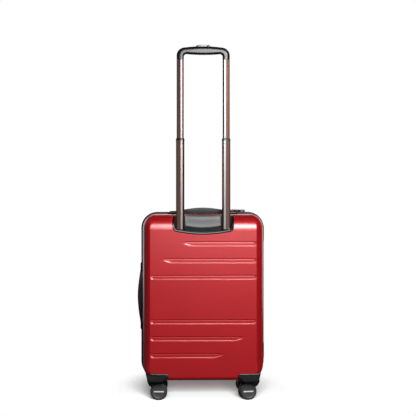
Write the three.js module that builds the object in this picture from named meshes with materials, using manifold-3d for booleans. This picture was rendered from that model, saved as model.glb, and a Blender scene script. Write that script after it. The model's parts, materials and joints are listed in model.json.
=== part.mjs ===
// Cabin-size hard shell suitcase on four spinner wheels, with a two-stage trolley handle.
// Millimetres, +Z up. The trolley side faces -Y and the lid half faces +Y.
import * as THREE from 'three';
import { mergeVertices } from 'three/addons/utils/BufferGeometryUtils.js';
import Module from 'manifold-3d';

const wasm = await Module();
wasm.setup();

// Case body
const HALF_WIDTH = 176;
const CASE_BOTTOM = 60;
const CASE_TOP = 543;
const HALF_DEPTH = 115;
const LIP_Y = 14;
const LOWER_CORNER = 62;
const UPPER_CORNER = 41;
const FACE_FILLET = 22;
const CROWN_FILLET = 45;
const WALL = 2.4;
const GAP = 0.3;

// Pressed grooves: height of the centre line, and where the left and right ends lie
const GROOVE_HALF_HEIGHT = 7;
const GROOVE_DEPTH = 2.2;
const GROOVE_END = 155;
const GROOVE_END_SLANT = 2.5;
const GROOVE_TIP_LENGTH = 18;
const GROOVES = [
  { z: 457, left: -62, right: GROOVE_END },
  { z: 408, left: -121, right: GROOVE_END },
  { z: 360, left: -GROOVE_END, right: GROOVE_END },
  { z: 231, left: -GROOVE_END, right: GROOVE_END },
  { z: 182, left: -GROOVE_END, right: 121 },
  { z: 133, left: -GROOVE_END, right: 62 },
];

// Zip band round the middle
const BAND_PROUD = 6.5;
const BAND_INSET = 3;
const TAPE_Y = 4.8;
const ZIP_GAP = 0.4;

// Trolley
const TUBE_X = 67;
const TUBE_Y = -100.5;
const FIXED_TUBE = { width: 28, depth: 18, bottom: 86, top: 488 };
const MIDDLE_TUBE = { width: 24.5, depth: 15, bottom: 430, top: 757.7 };
const INNER_TUBE = { width: 20.7, depth: 11.6, bottom: 700, top: 993.3 };
const TUBE_WALL = 1.2;
const SLIDE_CLEARANCE = 0.8;
const COLLAR = { width: 25.8, depth: 16.4, bottom: 758, top: 764.4, bevel: 2 };
const SCREW_HOLE_RADIUS = 1.75;

// Grip of the trolley
const GRIP_HALF_WIDTH = 77.5;
const GRIP_DEPTH = 17;
const GRIP_TOP = 1032;
const GRIP_BAR_UNDERSIDE = 1007;
const GRIP_LEG_BOTTOM = 993.6;
const GRIP_LEG_WIDTH = 21.2;
const GRIP_EDGE = 4;
const BUTTON = { halfWidth: 20, depth: 9, top: 1035.8, bottom: 1016 };
const PUSH_BAR = { halfWidth: 71, depth: 5, bottom: 1014, top: 1020 };
const PUSH_ROD = { width: 5, depth: 3.6, bottom: 706, top: 1013.7 };
const BUTTON_TRAVEL = 3;

// Recess that the grip sinks into
const RECESS_HALF_WIDTH = 83;
const RECESS_PANEL_Y = -91;
const RECESS_SIDE_FLOOR = 498;
const RECESS_CENTRE_FLOOR = 490.5;
const TRAY_WALL = 2.2;
const BEZEL_WIDTH = 7;
const BEZEL_PROUD = 1.4;
const BEZEL_TOP = 538.5;

// Casters
const SWIVEL_X = 139.5;
const SWIVEL_Y = 77;
const TRAIL = 10;
const WHEEL_RADIUS = 25;
const DISC_INNER = 3.5;
const DISC_OUTER = 15.5;
const AXLE_RADIUS = 2.8;
const FORK_TOP = 54.5;
const FORK_HALF_WIDTH = 15.5;
const FORK_PLATE = 3;
const STEM_RADIUS = 4;
const STEM_TOP = 61.5;
const GUARD_TOP = 81.5;
const GUARD_OUTER_X = 170;
const GUARD_INNER_X = 98;
const GUARD_INNER_Y = 38;
const CASTERS = [
  { name: 'back_left', side: -1, face: -1, yaw: 0 },
  { name: 'back_right', side: 1, face: -1, yaw: -11 },
  { name: 'front_left', side: -1, face: 1, yaw: 0 },
  { name: 'front_right', side: 1, face: 1, yaw: -11 },
];

// Carry handles: half length along the shell, height over it
const HANDLE = { half: 103, capInner: 74, capHeight: 10.4, width: 26, strap: 18, thick: 4 };
const HANDLE_Y = -42;
const TOP_HANDLE_RISE = 19.5;
const SIDE_HANDLE_RISE = 16.5;
const SIDE_HANDLE_Z = 302;

// Side feet on the hinge side
const FOOT = { half: 26, width: 18, reach: 188, y: 62 };
const FOOT_CENTRES = { upper: 484, lower: 129 };

// Combination lock on the lid, and the zip sliders beside it
const LOCK = { left: 83, right: 128, near: 14.6, far: 44, top: 556 };
const DIAL = { radius: 6.2, width: 4, y: 35, z: 551.4, first: 91, pitch: 6.5 };
const LOCK_SLIDER = { x: 119.5, y: 35, halfX: 3.5, halfY: 4.5, bottom: 554.4, top: 557.4, travel: 3 };
const ZIP_PULLS = { left: 90, right: 117 };
const PULL = { width: 7, length: 21, thick: 2.2, pinY: 5.6, pinZ: 554.6 };

// The widest points are the side handle and the side feet, so the case sits this far off centre.
const SHIFT_X = (HALF_WIDTH + SIDE_HANDLE_RISE - FOOT.reach) / 2;

const CASE_STEPS = { curve: 6, rim: 4 };
const SMALL_STEPS = { curve: 4, rim: 2 };
const ROUND_STEPS = 24;
const FAR = 700;

const MATERIALS = {
  red_shell: { color: 0xb01c24, roughness: 0.35, metalness: 0.1 },
  black_gloss: { color: 0x101010, roughness: 0.25, metalness: 0.0 },
  black_satin: { color: 0x161616, roughness: 0.5, metalness: 0.0 },
  black_fabric: { color: 0x1a1a1c, roughness: 0.95, metalness: 0.0 },
  lining: { color: 0x2b2d33, roughness: 0.95, metalness: 0.0 },
  bronze: { color: 0x7a5847, roughness: 0.25, metalness: 1.0 },
  grey_button: { color: 0x9a9c9d, roughness: 0.45, metalness: 0.0 },
  steel: { color: 0x8c8f92, roughness: 0.3, metalness: 1.0 },
  zip_metal: { color: 0x3a3b3d, roughness: 0.35, metalness: 0.9 },
  wheel: { color: 0x202122, roughness: 0.6, metalness: 0.0 },
  dial: { color: 0xb9bbbd, roughness: 0.4, metalness: 0.3 },
};

// ---------- Helpers ----------

function toSolid(geometry) {
  const plain = geometry.index ? geometry.toNonIndexed() : geometry;
  plain.deleteAttribute('normal');
  plain.deleteAttribute('uv');
  const merged = mergeVertices(plain, 1e-4);
  const corners = merged.index.array;
  const kept = [];
  for (let i = 0; i < corners.length; i += 3) {
    const [a, b, c] = [corners[i], corners[i + 1], corners[i + 2]];
    if (a !== b && b !== c && a !== c) kept.push(a, b, c);
  }
  const mesh = new wasm.Mesh({
    numProp: 3,
    vertProperties: new Float32Array(merged.attributes.position.array),
    triVerts: new Uint32Array(kept),
  });
  return new wasm.Manifold(mesh);
}

function toGeometry(solid) {
  const mesh = solid.getMesh();
  const geometry = new THREE.BufferGeometry();
  geometry.setAttribute('position', new THREE.BufferAttribute(new Float32Array(mesh.vertProperties), 3));
  geometry.setIndex(new THREE.BufferAttribute(new Uint32Array(mesh.triVerts), 1));
  geometry.computeVertexNormals();
  return geometry;
}

const X_AXIS = new THREE.Vector3(1, 0, 0);
const Y_AXIS = new THREE.Vector3(0, 1, 0);
const Z_AXIS = new THREE.Vector3(0, 0, 1);
const BASES = {
  x: [Y_AXIS, Z_AXIS, X_AXIS],
  y: [X_AXIS, Z_AXIS, new THREE.Vector3(0, -1, 0)],
  z: [X_AXIS, Y_AXIS, Z_AXIS],
};

// A flat outline pulled along one axis from low to high, with rounded rims when bevel is given.
function prism(shape, axis, low, high, bevel = 0, steps = SMALL_STEPS) {
  const geometry = new THREE.ExtrudeGeometry(shape, {
    depth: high - low - 2 * bevel,
    bevelEnabled: bevel > 0,
    bevelThickness: bevel,
    bevelSize: bevel,
    bevelOffset: -bevel,
    bevelSegments: steps.rim,
    curveSegments: steps.curve,
  });
  const start = axis === 'y' ? -high : low;
  geometry.translate(0, 0, start + bevel);
  geometry.applyMatrix4(new THREE.Matrix4().makeBasis(...BASES[axis]));
  return toSolid(geometry);
}

function block(x0, x1, y0, y1, z0, z1) {
  const geometry = new THREE.BoxGeometry(x1 - x0, y1 - y0, z1 - z0);
  geometry.translate((x0 + x1) / 2, (y0 + y1) / 2, (z0 + z1) / 2);
  return toSolid(geometry);
}

// A round bar along an axis; at is its middle.
function bar(axis, radius, length, at, steps = ROUND_STEPS) {
  const geometry = new THREE.CylinderGeometry(radius, radius, length, steps);
  if (axis === 'x') geometry.rotateZ(Math.PI / 2);
  if (axis === 'z') geometry.rotateX(Math.PI / 2);
  geometry.translate(...at);
  return toSolid(geometry);
}

function rounded(left, right, bottom, top, lowerRadius, upperRadius = lowerRadius) {
  const shape = new THREE.Shape();
  shape.absarc(right - lowerRadius, bottom + lowerRadius, lowerRadius, -Math.PI / 2, 0, false);
  shape.absarc(right - upperRadius, top - upperRadius, upperRadius, 0, Math.PI / 2, false);
  shape.absarc(left + upperRadius, top - upperRadius, upperRadius, Math.PI / 2, Math.PI, false);
  shape.absarc(left + lowerRadius, bottom + lowerRadius, lowerRadius, Math.PI, 1.5 * Math.PI, false);
  shape.closePath();
  return shape;
}

function polygon(points) {
  return new THREE.Shape(points.map(([u, v]) => new THREE.Vector2(u, v)));
}

function turnedAboutZ(solid, degrees, x, y) {
  return solid.translate([-x, -y, 0]).rotate([0, 0, degrees]).translate([x, y, 0]);
}

function mirroredX(solid) {
  return solid.mirror([1, 0, 0]);
}

function mirroredY(solid) {
  return solid.mirror([0, 1, 0]);
}

// ---------- Case ----------

// The outside form of both halves together, pulled inwards by inset on every side.
function caseForm(inset) {
  const width = HALF_WIDTH - inset;
  const face = HALF_DEPTH - inset;
  const bottom = CASE_BOTTOM + inset;
  const top = CASE_TOP - inset;
  const outline = rounded(-width, width, bottom, top, LOWER_CORNER - inset, UPPER_CORNER - inset);
  const body = prism(outline, 'y', -face, face, FACE_FILLET - inset, CASE_STEPS);
  const crown = rounded(-face, face, bottom - CROWN_FILLET, top, 1, CROWN_FILLET - inset);
  return body.intersect(prism(crown, 'x', -FAR, FAR, 0, CASE_STEPS));
}

function grooveOutline(groove, grow) {
  const low = groove.z - GROOVE_HALF_HEIGHT - grow;
  const high = groove.z + GROOVE_HALF_HEIGHT + grow;
  const shape = new THREE.Shape();
  if (groove.left === -GROOVE_END) {
    shape.moveTo(groove.left - GROOVE_END_SLANT - grow, high);
    shape.lineTo(groove.left + GROOVE_END_SLANT - grow, low);
  } else {
    shape.moveTo(groove.left - grow, groove.z);
    shape.quadraticCurveTo(groove.left + GROOVE_TIP_LENGTH / 2, low, groove.left + GROOVE_TIP_LENGTH, low);
  }
  if (groove.right === GROOVE_END) {
    shape.lineTo(groove.right - GROOVE_END_SLANT + grow, low);
    shape.lineTo(groove.right + GROOVE_END_SLANT + grow, high);
  } else {
    shape.lineTo(groove.right - GROOVE_TIP_LENGTH, low);
    shape.quadraticCurveTo(groove.right - GROOVE_TIP_LENGTH / 2, low, groove.right + grow, groove.z);
    shape.quadraticCurveTo(groove.right - GROOVE_TIP_LENGTH / 2, high, groove.right - GROOVE_TIP_LENGTH, high);
  }
  if (groove.left !== -GROOVE_END) {
    shape.lineTo(groove.left + GROOVE_TIP_LENGTH, high);
    shape.quadraticCurveTo(groove.left + GROOVE_TIP_LENGTH / 2, high, groove.left - grow, groove.z);
  }
  return shape;
}

function grooveCutters(grow) {
  const floor = -HALF_DEPTH + GROOVE_DEPTH + grow;
  const parts = GROOVES.map((groove) => prism(grooveOutline(groove, grow), 'y', -FAR, floor));
  return parts.reduce((all, next) => all.add(next));
}

// One pressed half shell with grooves, hollow and open at the lip, on the -Y side.
function halfShell() {
  const outside = caseForm(0).subtract(grooveCutters(0));
  const inside = caseForm(WALL).subtract(grooveCutters(WALL));
  return outside.subtract(inside).intersect(block(-FAR, FAR, -FAR, -LIP_Y, 0, FAR));
}

function recessOutline(grow) {
  const half = RECESS_HALF_WIDTH + grow;
  const side = RECESS_SIDE_FLOOR - grow;
  const corner = 10 + grow;
  const dip = 2 * (RECESS_CENTRE_FLOOR - grow) - side;
  const shape = new THREE.Shape();
  shape.moveTo(-half, FAR);
  shape.lineTo(-half, side + corner);
  shape.quadraticCurveTo(-half, side, -half + corner, side);
  shape.quadraticCurveTo(0, dip, half - corner, side);
  shape.quadraticCurveTo(half, side, half, side + corner);
  shape.lineTo(half, FAR);
  return shape;
}

function backShell() {
  const opening = prism(recessOutline(TRAY_WALL + GAP), 'y', -FAR, RECESS_PANEL_Y + TRAY_WALL + GAP);
  return halfShell().subtract(opening);
}

function frontShell() {
  return halfShell().rotate([0, 0, 180]);
}

function bandRing(nearY, farY) {
  const out = BAND_PROUD;
  const cut = BAND_INSET;
  const outer = rounded(
    -HALF_WIDTH - out, HALF_WIDTH + out, CASE_BOTTOM - out, CASE_TOP + out,
    LOWER_CORNER + out, UPPER_CORNER + out,
  );
  const inner = rounded(
    -HALF_WIDTH + cut, HALF_WIDTH - cut, CASE_BOTTOM + cut, CASE_TOP - cut,
    LOWER_CORNER - cut, UPPER_CORNER - cut,
  );
  return prism(outer, 'y', nearY, farY, 0, CASE_STEPS)
    .subtract(prism(inner, 'y', nearY - 1, farY + 1, 0, CASE_STEPS));
}

function zipFrame() {
  return bandRing(-LIP_Y + GAP, -TAPE_Y - GAP);
}

function zipTape() {
  return bandRing(-TAPE_Y, -ZIP_GAP);
}

function hingeStrip() {
  const x = HALF_WIDTH - BAND_INSET - GAP;
  return block(x - 1.2, x, -LIP_Y + 1, -ZIP_GAP, 130, 470);
}

const LINING_INSET = 5.4;
const LINING_THICK = 1.2;
const TUBE_COVER = { half: 88, y: -88, bottom: 78 };

function lining(cover) {
  const outside = caseForm(LINING_INSET);
  const inside = caseForm(LINING_INSET + LINING_THICK);
  const keep = block(-FAR, FAR, -FAR, -LIP_Y - 2, 0, FAR);
  if (!cover) return outside.subtract(inside).intersect(keep);
  const { half, y, bottom } = TUBE_COVER;
  const hump = block(-half, half, -FAR, y, bottom, FAR);
  const t = LINING_THICK;
  const wideHump = block(-half - t, half + t, -FAR, y + t, bottom - t, FAR);
  return outside.subtract(hump).subtract(inside.subtract(wideHump)).intersect(keep);
}

// ---------- Trolley ----------

// Section of the left tube: a narrow flat ridge facing -Y, nearer the middle of the case,
// with a long slope outwards and a short one inwards.
function tubeSection(width, depth) {
  return polygon([
    [-0.5 * width, 0.38 * depth],
    [-0.5 * width, -0.12 * depth],
    [-0.42 * width, -0.28 * depth],
    [0.03 * width, -0.5 * depth],
    [0.30 * width, -0.5 * depth],
    [0.5 * width, -0.22 * depth],
    [0.5 * width, 0.38 * depth],
    [0.42 * width, 0.5 * depth],
    [-0.42 * width, 0.5 * depth],
  ]);
}

function tubePrism(width, depth, low, high, bevel = 0) {
  return prism(tubeSection(width, depth), 'z', low, high, bevel).translate([-TUBE_X, TUBE_Y, 0]);
}

function hollowTube({ width, depth, bottom, top }) {
  const outside = tubePrism(width, depth, bottom, top);
  const bore = tubePrism(width - 2 * TUBE_WALL, depth - 2 * TUBE_WALL, bottom - 1, top + 1);
  return outside.subtract(bore);
}

// Blind screw holes through the tube wall that faces -Y.
function screwHoles(xFromTube, heights) {
  const holes = heights.map((z) => bar('y', SCREW_HOLE_RADIUS, 8, [-TUBE_X + xFromTube, TUBE_Y - 7, z], 12));
  return holes.reduce((all, next) => all.add(next));
}

function innerTube() {
  return hollowTube(INNER_TUBE).subtract(screwHoles(-4.9, [985, 974.6]));
}

function middleTube() {
  return hollowTube(MIDDLE_TUBE).subtract(screwHoles(8, [748, 736]));
}

function collar() {
  const { width, depth, bottom, top, bevel } = COLLAR;
  const outside = tubePrism(width, depth, bottom - 2 * bevel, top, bevel);
  const bore = tubePrism(INNER_TUBE.width + SLIDE_CLEARANCE, INNER_TUBE.depth + SLIDE_CLEARANCE, 0, FAR * 2);
  return outside.subtract(bore).intersect(block(-FAR, FAR, -FAR, FAR, bottom, top));
}

function trolleyHousing() {
  const skinOut = caseForm(-BEZEL_PROUD);
  const panelBack = RECESS_PANEL_Y + TRAY_WALL;
  const tray = prism(recessOutline(TRAY_WALL), 'y', -FAR, panelBack).intersect(skinOut);
  const bezelBand = prism(recessOutline(BEZEL_WIDTH), 'y', -FAR, RECESS_PANEL_Y);
  const bezel = skinOut.subtract(caseForm(-GAP)).intersect(bezelBand);
  const pocket = prism(recessOutline(0), 'y', -FAR, RECESS_PANEL_Y);
  const hole = tubePrism(
    MIDDLE_TUBE.width + SLIDE_CLEARANCE, MIDDLE_TUBE.depth + SLIDE_CLEARANCE, FIXED_TUBE.top - 10, 505,
  );
  const below = block(-FAR, FAR, -FAR, 0, 0, BEZEL_TOP);
  return tray.add(bezel).subtract(pocket).subtract(hole).subtract(mirroredX(hole)).intersect(below);
}

function gripOutline() {
  const half = GRIP_HALF_WIDTH;
  const inner = half - GRIP_LEG_WIDTH;
  const corner = 19;
  const shape = new THREE.Shape();
  shape.moveTo(-half, GRIP_LEG_BOTTOM);
  shape.lineTo(-inner, GRIP_LEG_BOTTOM);
  shape.quadraticCurveTo(-inner + 1, GRIP_BAR_UNDERSIDE + 2, -inner + 12, GRIP_BAR_UNDERSIDE + 2);
  shape.quadraticCurveTo(0, GRIP_BAR_UNDERSIDE - 2, inner - 12, GRIP_BAR_UNDERSIDE + 2);
  shape.quadraticCurveTo(inner - 1, GRIP_BAR_UNDERSIDE + 2, inner, GRIP_LEG_BOTTOM);
  shape.lineTo(half, GRIP_LEG_BOTTOM);
  shape.lineTo(half, GRIP_TOP - corner);
  shape.absarc(half - corner, GRIP_TOP - corner, corner, 0, Math.PI / 2, false);
  shape.absarc(-half + corner, GRIP_TOP - corner, corner, Math.PI / 2, Math.PI, false);
  return shape;
}

// The whole grip with its plugs in the tube tops, hollow where the push bar moves.
function wholeGrip() {
  const halfDepth = GRIP_DEPTH / 2;
  const outside = prism(gripOutline(), 'y', TUBE_Y - halfDepth, TUBE_Y + halfDepth, GRIP_EDGE);
  const bore = 2 * (TUBE_WALL + GAP);
  const plug = tubePrism(
    INNER_TUBE.width - bore, INNER_TUBE.depth - bore, INNER_TUBE.top - 28, GRIP_LEG_BOTTOM + 4,
  );
  const cap = rounded(-BUTTON.halfWidth - GAP, BUTTON.halfWidth + GAP, -BUTTON.depth / 2 - GAP,
    BUTTON.depth / 2 + GAP, 4);
  const { halfWidth, depth, bottom, top } = PUSH_BAR;
  const pressed = bottom - BUTTON_TRAVEL - 1;
  const capWay = prism(cap, 'z', pressed, FAR * 2).translate([0, TUBE_Y, 0]);
  const barWay = block(
    -halfWidth - 1, halfWidth + 1, TUBE_Y - depth / 2 - 0.5, TUBE_Y + depth / 2 + 0.5, pressed, top + 1,
  );
  const rodWay = rodBlock(0.6, INNER_TUBE.top - 60, bottom);
  return outside.add(plug).add(mirroredX(plug))
    .subtract(capWay).subtract(barWay).subtract(rodWay).subtract(mirroredX(rodWay));
}

function gripHalf(side) {
  const near = side < 0 ? -FAR : TUBE_Y + GAP / 2;
  const far = side < 0 ? TUBE_Y - GAP / 2 : FAR;
  return wholeGrip().intersect(block(-FAR, FAR, near, far, 0, FAR * 2));
}

function rodBlock(grow, low, high) {
  const halfX = PUSH_ROD.width / 2 + grow;
  const halfY = PUSH_ROD.depth / 2 + grow;
  return block(-TUBE_X - halfX, -TUBE_X + halfX, TUBE_Y - halfY, TUBE_Y + halfY, low, high);
}

function releaseButton() {
  const cap = rounded(-BUTTON.halfWidth, BUTTON.halfWidth, -BUTTON.depth / 2, BUTTON.depth / 2, 4);
  const top = prism(cap, 'z', BUTTON.bottom - 2, BUTTON.top, 1.2).translate([0, TUBE_Y, 0]);
  const { halfWidth, depth, bottom, top: barTop } = PUSH_BAR;
  return top.add(block(-halfWidth, halfWidth, TUBE_Y - depth / 2, TUBE_Y + depth / 2, bottom, barTop));
}

// ---------- Casters ----------

// A corner guard under the shell at the -X, -Y corner, with a bore for the caster stem.
function cornerGuard() {
  const low = FORK_TOP + GAP;
  const front = polygon([
    [-GUARD_OUTER_X, GUARD_TOP],
    [-GUARD_OUTER_X + 4, 59],
    [-GUARD_OUTER_X + 8, low],
    [-GUARD_INNER_X - 4, low],
    [-GUARD_INNER_X, low + 5],
    [-GUARD_INNER_X - 2, 74],
    [-GUARD_INNER_X - 5, GUARD_TOP - 2],
    [-GUARD_INNER_X - 9, GUARD_TOP],
  ]);
  const plan = rounded(
    -GUARD_OUTER_X, -GUARD_INNER_X, -HALF_DEPTH - 0.5, -GUARD_INNER_Y, 16, 8,
  );
  const bore = bar('z', STEM_RADIUS + GAP, STEM_TOP + GAP, [-SWIVEL_X, -SWIVEL_Y, (STEM_TOP + GAP) / 2]);
  return prism(front, 'y', -FAR, 0)
    .intersect(prism(plan, 'z', 0, FAR))
    .subtract(caseForm(-GAP))
    .subtract(bore);
}

// Parts of a caster are drawn about the swivel axis with the wheel trailing towards +X.
function casterFork() {
  const front = polygon([
    [-21, FORK_TOP],
    [-14, 41],
    [TRAIL, 41],
    [TRAIL + 24, 41],
    [TRAIL + 22, 50],
    [TRAIL + 14, FORK_TOP],
  ]);
  const wheelSpace = bar('y', WHEEL_RADIUS + 1, 80, [TRAIL, 0, WHEEL_RADIUS], 32);
  const arch = prism(front, 'y', -FORK_HALF_WIDTH, FORK_HALF_WIDTH).subtract(wheelSpace);
  const plate = prism(polygon([
    [-10, 51.6],
    [TRAIL - 6, WHEEL_RADIUS - 3],
    [TRAIL + 6, WHEEL_RADIUS - 3],
    [TRAIL + 12, 51.6],
  ]), 'y', -FORK_PLATE, FORK_PLATE);
  const boss = bar('y', 6.5, 2 * FORK_PLATE, [TRAIL, 0, WHEEL_RADIUS]);
  const stem = bar('z', STEM_RADIUS, 10, [0, 0, STEM_TOP - 5]);
  const axleHole = bar('y', AXLE_RADIUS + GAP, 40, [TRAIL, 0, WHEEL_RADIUS], 16);
  return arch.add(plate).add(boss).add(stem).subtract(axleHole);
}

function wheelDisc() {
  const bore = AXLE_RADIUS + GAP;
  const profile = [
    [bore, DISC_INNER], [WHEEL_RADIUS - 1.5, DISC_INNER],
    [WHEEL_RADIUS, DISC_INNER + 1.5], [WHEEL_RADIUS, DISC_OUTER - 2],
    [WHEEL_RADIUS - 1.8, DISC_OUTER - 0.2], [18, DISC_OUTER],
    [bore, DISC_OUTER], [bore, DISC_INNER],
  ];
  const geometry = new THREE.LatheGeometry(profile.map(([r, y]) => new THREE.Vector2(r, y)), ROUND_STEPS);
  geometry.translate(TRAIL, 0, 0);
  return toSolid(geometry).translate([0, 0, WHEEL_RADIUS]);
}

function axle() {
  return bar('y', AXLE_RADIUS, 2 * DISC_OUTER - 2, [TRAIL, 0, WHEEL_RADIUS], 16);
}

// Moves a caster part to its corner, trailing inwards and turned by the rest angle.
function atCorner(part, { side, face, yaw }) {
  const turn = side < 0 ? yaw : 180 - yaw;
  return part.rotate([0, 0, turn]).translate([side * SWIVEL_X, face * SWIVEL_Y, 0]);
}

// ---------- Handles and feet ----------

// Handle parts are drawn along X over a shell surface at Z = 0, then moved into place.
function handleCap() {
  const { half, capInner, capHeight, width } = HANDLE;
  const side = polygon([
    [-half, GAP], [-capInner, GAP], [-capInner, capHeight - 3],
    [-capInner - 4, capHeight], [-half + 7, capHeight], [-half, 5],
  ]);
  const plan = rounded(-half, -capInner, -width / 2, width / 2, 9);
  const slot = block(-half + 8, -capInner - 6, -HANDLE.strap / 2 - 1, HANDLE.strap / 2 + 1, 2.4, 50);
  return prism(side, 'y', -width, width).intersect(prism(plan, 'z', 0, 50)).subtract(slot);
}

function handleStrap(rise) {
  const { capInner, capHeight, thick, strap } = HANDLE;
  const foot = capInner + 9;
  const end = capInner + 19;
  const shape = new THREE.Shape();
  shape.moveTo(-end, 3);
  shape.lineTo(-foot, 3);
  shape.lineTo(-foot, capHeight + GAP);
  shape.quadraticCurveTo(-foot + 20, rise - thick, -45, rise - thick);
  shape.lineTo(45, rise - thick);
  shape.quadraticCurveTo(foot - 20, rise - thick, foot, capHeight + GAP);
  shape.lineTo(foot, 3);
  shape.lineTo(end, 3);
  shape.lineTo(end, capHeight - 0.5);
  shape.quadraticCurveTo(foot - 14, rise, 45, rise);
  shape.lineTo(-45, rise);
  shape.quadraticCurveTo(-foot + 14, rise, -end, capHeight - 0.5);
  return prism(shape, 'y', -strap / 2, strap / 2);
}

function onTop(part) {
  return part.translate([0, HANDLE_Y, CASE_TOP]);
}

function onSide(part) {
  return part.rotate([0, -90, 0]).translate([-HALF_WIDTH, HANDLE_Y, SIDE_HANDLE_Z]);
}

function sideFoot(centreZ) {
  const plan = rounded(FOOT.y - FOOT.width / 2, FOOT.y + FOOT.width / 2,
    centreZ - FOOT.half, centreZ + FOOT.half, 7);
  const whole = prism(plan, 'x', HALF_WIDTH + GAP - 6, FOOT.reach, 3);
  return whole.intersect(block(HALF_WIDTH + GAP, FAR, -FAR, FAR, 0, FAR));
}

// ---------- Lock and zip ----------

function dial(index, grow = 0) {
  const x = DIAL.first + index * DIAL.pitch;
  return bar('x', DIAL.radius + grow, DIAL.width + 2 * grow, [x, DIAL.y, DIAL.z], 20);
}

function lockBody() {
  const plan = rounded(LOCK.left, LOCK.right, LOCK.near, LOCK.far, 6);
  let body = prism(plan, 'z', CASE_TOP - 6, LOCK.top, 2)
    .intersect(block(0, FAR, 0, FAR, CASE_TOP + GAP, FAR));
  for (let i = 0; i < 3; i += 1) body = body.subtract(dial(i, GAP));
  const s = LOCK_SLIDER;
  body = body.subtract(block(
    s.x - s.halfX - GAP, s.x + s.halfX + s.travel + GAP, s.y - s.halfY - GAP, s.y + s.halfY + GAP,
    s.bottom - GAP, FAR,
  ));
  for (const x of Object.values(ZIP_PULLS)) {
    const half = PULL.width / 2 + 0.8;
    body = body.subtract(block(x - half, x + half, 0, PULL.pinY + PULL.length + 0.8, PULL.pinZ - 2, FAR));
  }
  return body;
}

function lockSlider() {
  const s = LOCK_SLIDER;
  return block(s.x - s.halfX, s.x + s.halfX, s.y - s.halfY, s.y + s.halfY, s.bottom, s.top);
}

function zipSlider(x) {
  const top = CASE_TOP + BAND_PROUD;
  const plan = rounded(x - 4.5, x + 4.5, -4.5, 3.4, 2);
  const body = prism(plan, 'z', top + GAP, top + 4.6);
  const ears = block(x - 2, x + 2, 2, PULL.pinY - 0.9, top + 1, PULL.pinZ + 0.9);
  const pin = bar('x', 0.9, 7.6, [x, PULL.pinY, PULL.pinZ], 12);
  const arm = block(x - 3.8, x - 2.8, 0, PULL.pinY + 0.9, top + 1, PULL.pinZ + 0.9);
  const otherArm = block(x + 2.8, x + 3.8, 0, PULL.pinY + 0.9, top + 1, PULL.pinZ + 0.9);
  return body.add(pin).add(arm).add(otherArm).subtract(ears);
}

function zipPull(x) {
  const half = PULL.width / 2;
  const t = PULL.thick / 2;
  const low = PULL.pinZ - t;
  const plan = rounded(x - half, x + half, PULL.pinY + 3, PULL.pinY + PULL.length, 2.5);
  const tab = prism(plan, 'z', low, low + PULL.thick);
  const neck = block(x - 2.3, x + 2.3, PULL.pinY - 1.4, PULL.pinY + 5, low - 0.2, low + PULL.thick + 0.2);
  const eye = bar('x', 0.9 + GAP, 20, [x, PULL.pinY, PULL.pinZ], 12);
  return tab.add(neck).subtract(eye);
}

// ---------- Assembly ----------

const group = new THREE.Group();

function add(name, solid, materialName) {
  const geometry = toGeometry(solid.translate([SHIFT_X, 0, 0]));
  const material = new THREE.MeshStandardMaterial(MATERIALS[materialName]);
  const mesh = new THREE.Mesh(geometry, material);
  mesh.name = name;
  group.add(mesh);
}

function addPair(name, leftSolid, materialName) {
  add(`${name}_left`, leftSolid, materialName);
  add(`${name}_right`, mirroredX(leftSolid), materialName);
}

add('back_shell', backShell(), 'red_shell');
add('front_shell', frontShell(), 'red_shell');
add('back_zip_frame', zipFrame(), 'black_satin');
add('front_zip_frame', mirroredY(zipFrame()), 'black_satin');
add('back_zip_tape', zipTape(), 'black_fabric');
add('front_zip_tape', mirroredY(zipTape()), 'black_fabric');
add('hinge_strip', hingeStrip(), 'black_fabric');
add('back_lining', lining(true), 'lining');
add('front_lining', mirroredY(lining(false)), 'lining');

add('trolley_housing', trolleyHousing(), 'black_gloss');
addPair('fixed_tube', hollowTube(FIXED_TUBE), 'steel');
addPair('middle_tube', middleTube(), 'bronze');
addPair('collar', collar(), 'black_satin');
addPair('inner_tube', innerTube(), 'bronze');
add('grip_back_half', gripHalf(-1), 'black_satin');
add('grip_front_half', gripHalf(1), 'black_satin');
add('release_button', releaseButton(), 'grey_button');
addPair('push_rod', rodBlock(0, PUSH_ROD.bottom, PUSH_ROD.top), 'steel');

for (const caster of CASTERS) {
  const quarter = caster.side < 0 ? cornerGuard() : mirroredX(cornerGuard());
  add(`corner_guard_${caster.name}`, caster.face < 0 ? quarter : mirroredY(quarter), 'black_satin');
  add(`caster_fork_${caster.name}`, atCorner(casterFork(), caster), 'black_satin');
  add(`axle_${caster.name}`, atCorner(axle(), caster), 'steel');
  add(`wheel_outer_${caster.name}`, atCorner(wheelDisc(), caster), 'wheel');
  add(`wheel_inner_${caster.name}`, atCorner(mirroredY(wheelDisc()), caster), 'wheel');
}

add('top_handle_strap', onTop(handleStrap(TOP_HANDLE_RISE)), 'black_satin');
add('top_handle_cap_left', onTop(handleCap()), 'black_satin');
add('top_handle_cap_right', onTop(mirroredX(handleCap())), 'black_satin');
add('side_handle_strap', onSide(handleStrap(SIDE_HANDLE_RISE)), 'black_satin');
add('side_handle_cap_lower', onSide(handleCap()), 'black_satin');
add('side_handle_cap_upper', onSide(mirroredX(handleCap())), 'black_satin');
add('side_foot_upper', sideFoot(FOOT_CENTRES.upper), 'black_satin');
add('side_foot_lower', sideFoot(FOOT_CENTRES.lower), 'black_satin');

add('lock_body', lockBody(), 'black_satin');
for (let i = 0; i < 3; i += 1) add(`number_dial_${i + 1}`, dial(i), 'dial');
add('lock_slider', lockSlider(), 'grey_button');
for (const [side, x] of Object.entries(ZIP_PULLS)) {
  add(`zip_slider_${side}`, zipSlider(x), 'zip_metal');
  add(`zip_pull_${side}`, zipPull(x), 'zip_metal');
}

export default group;
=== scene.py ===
"""Looks of the hard shell suitcase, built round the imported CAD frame.

Lengths are in mm until a mesh is made.
"""
import json
import math

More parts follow.
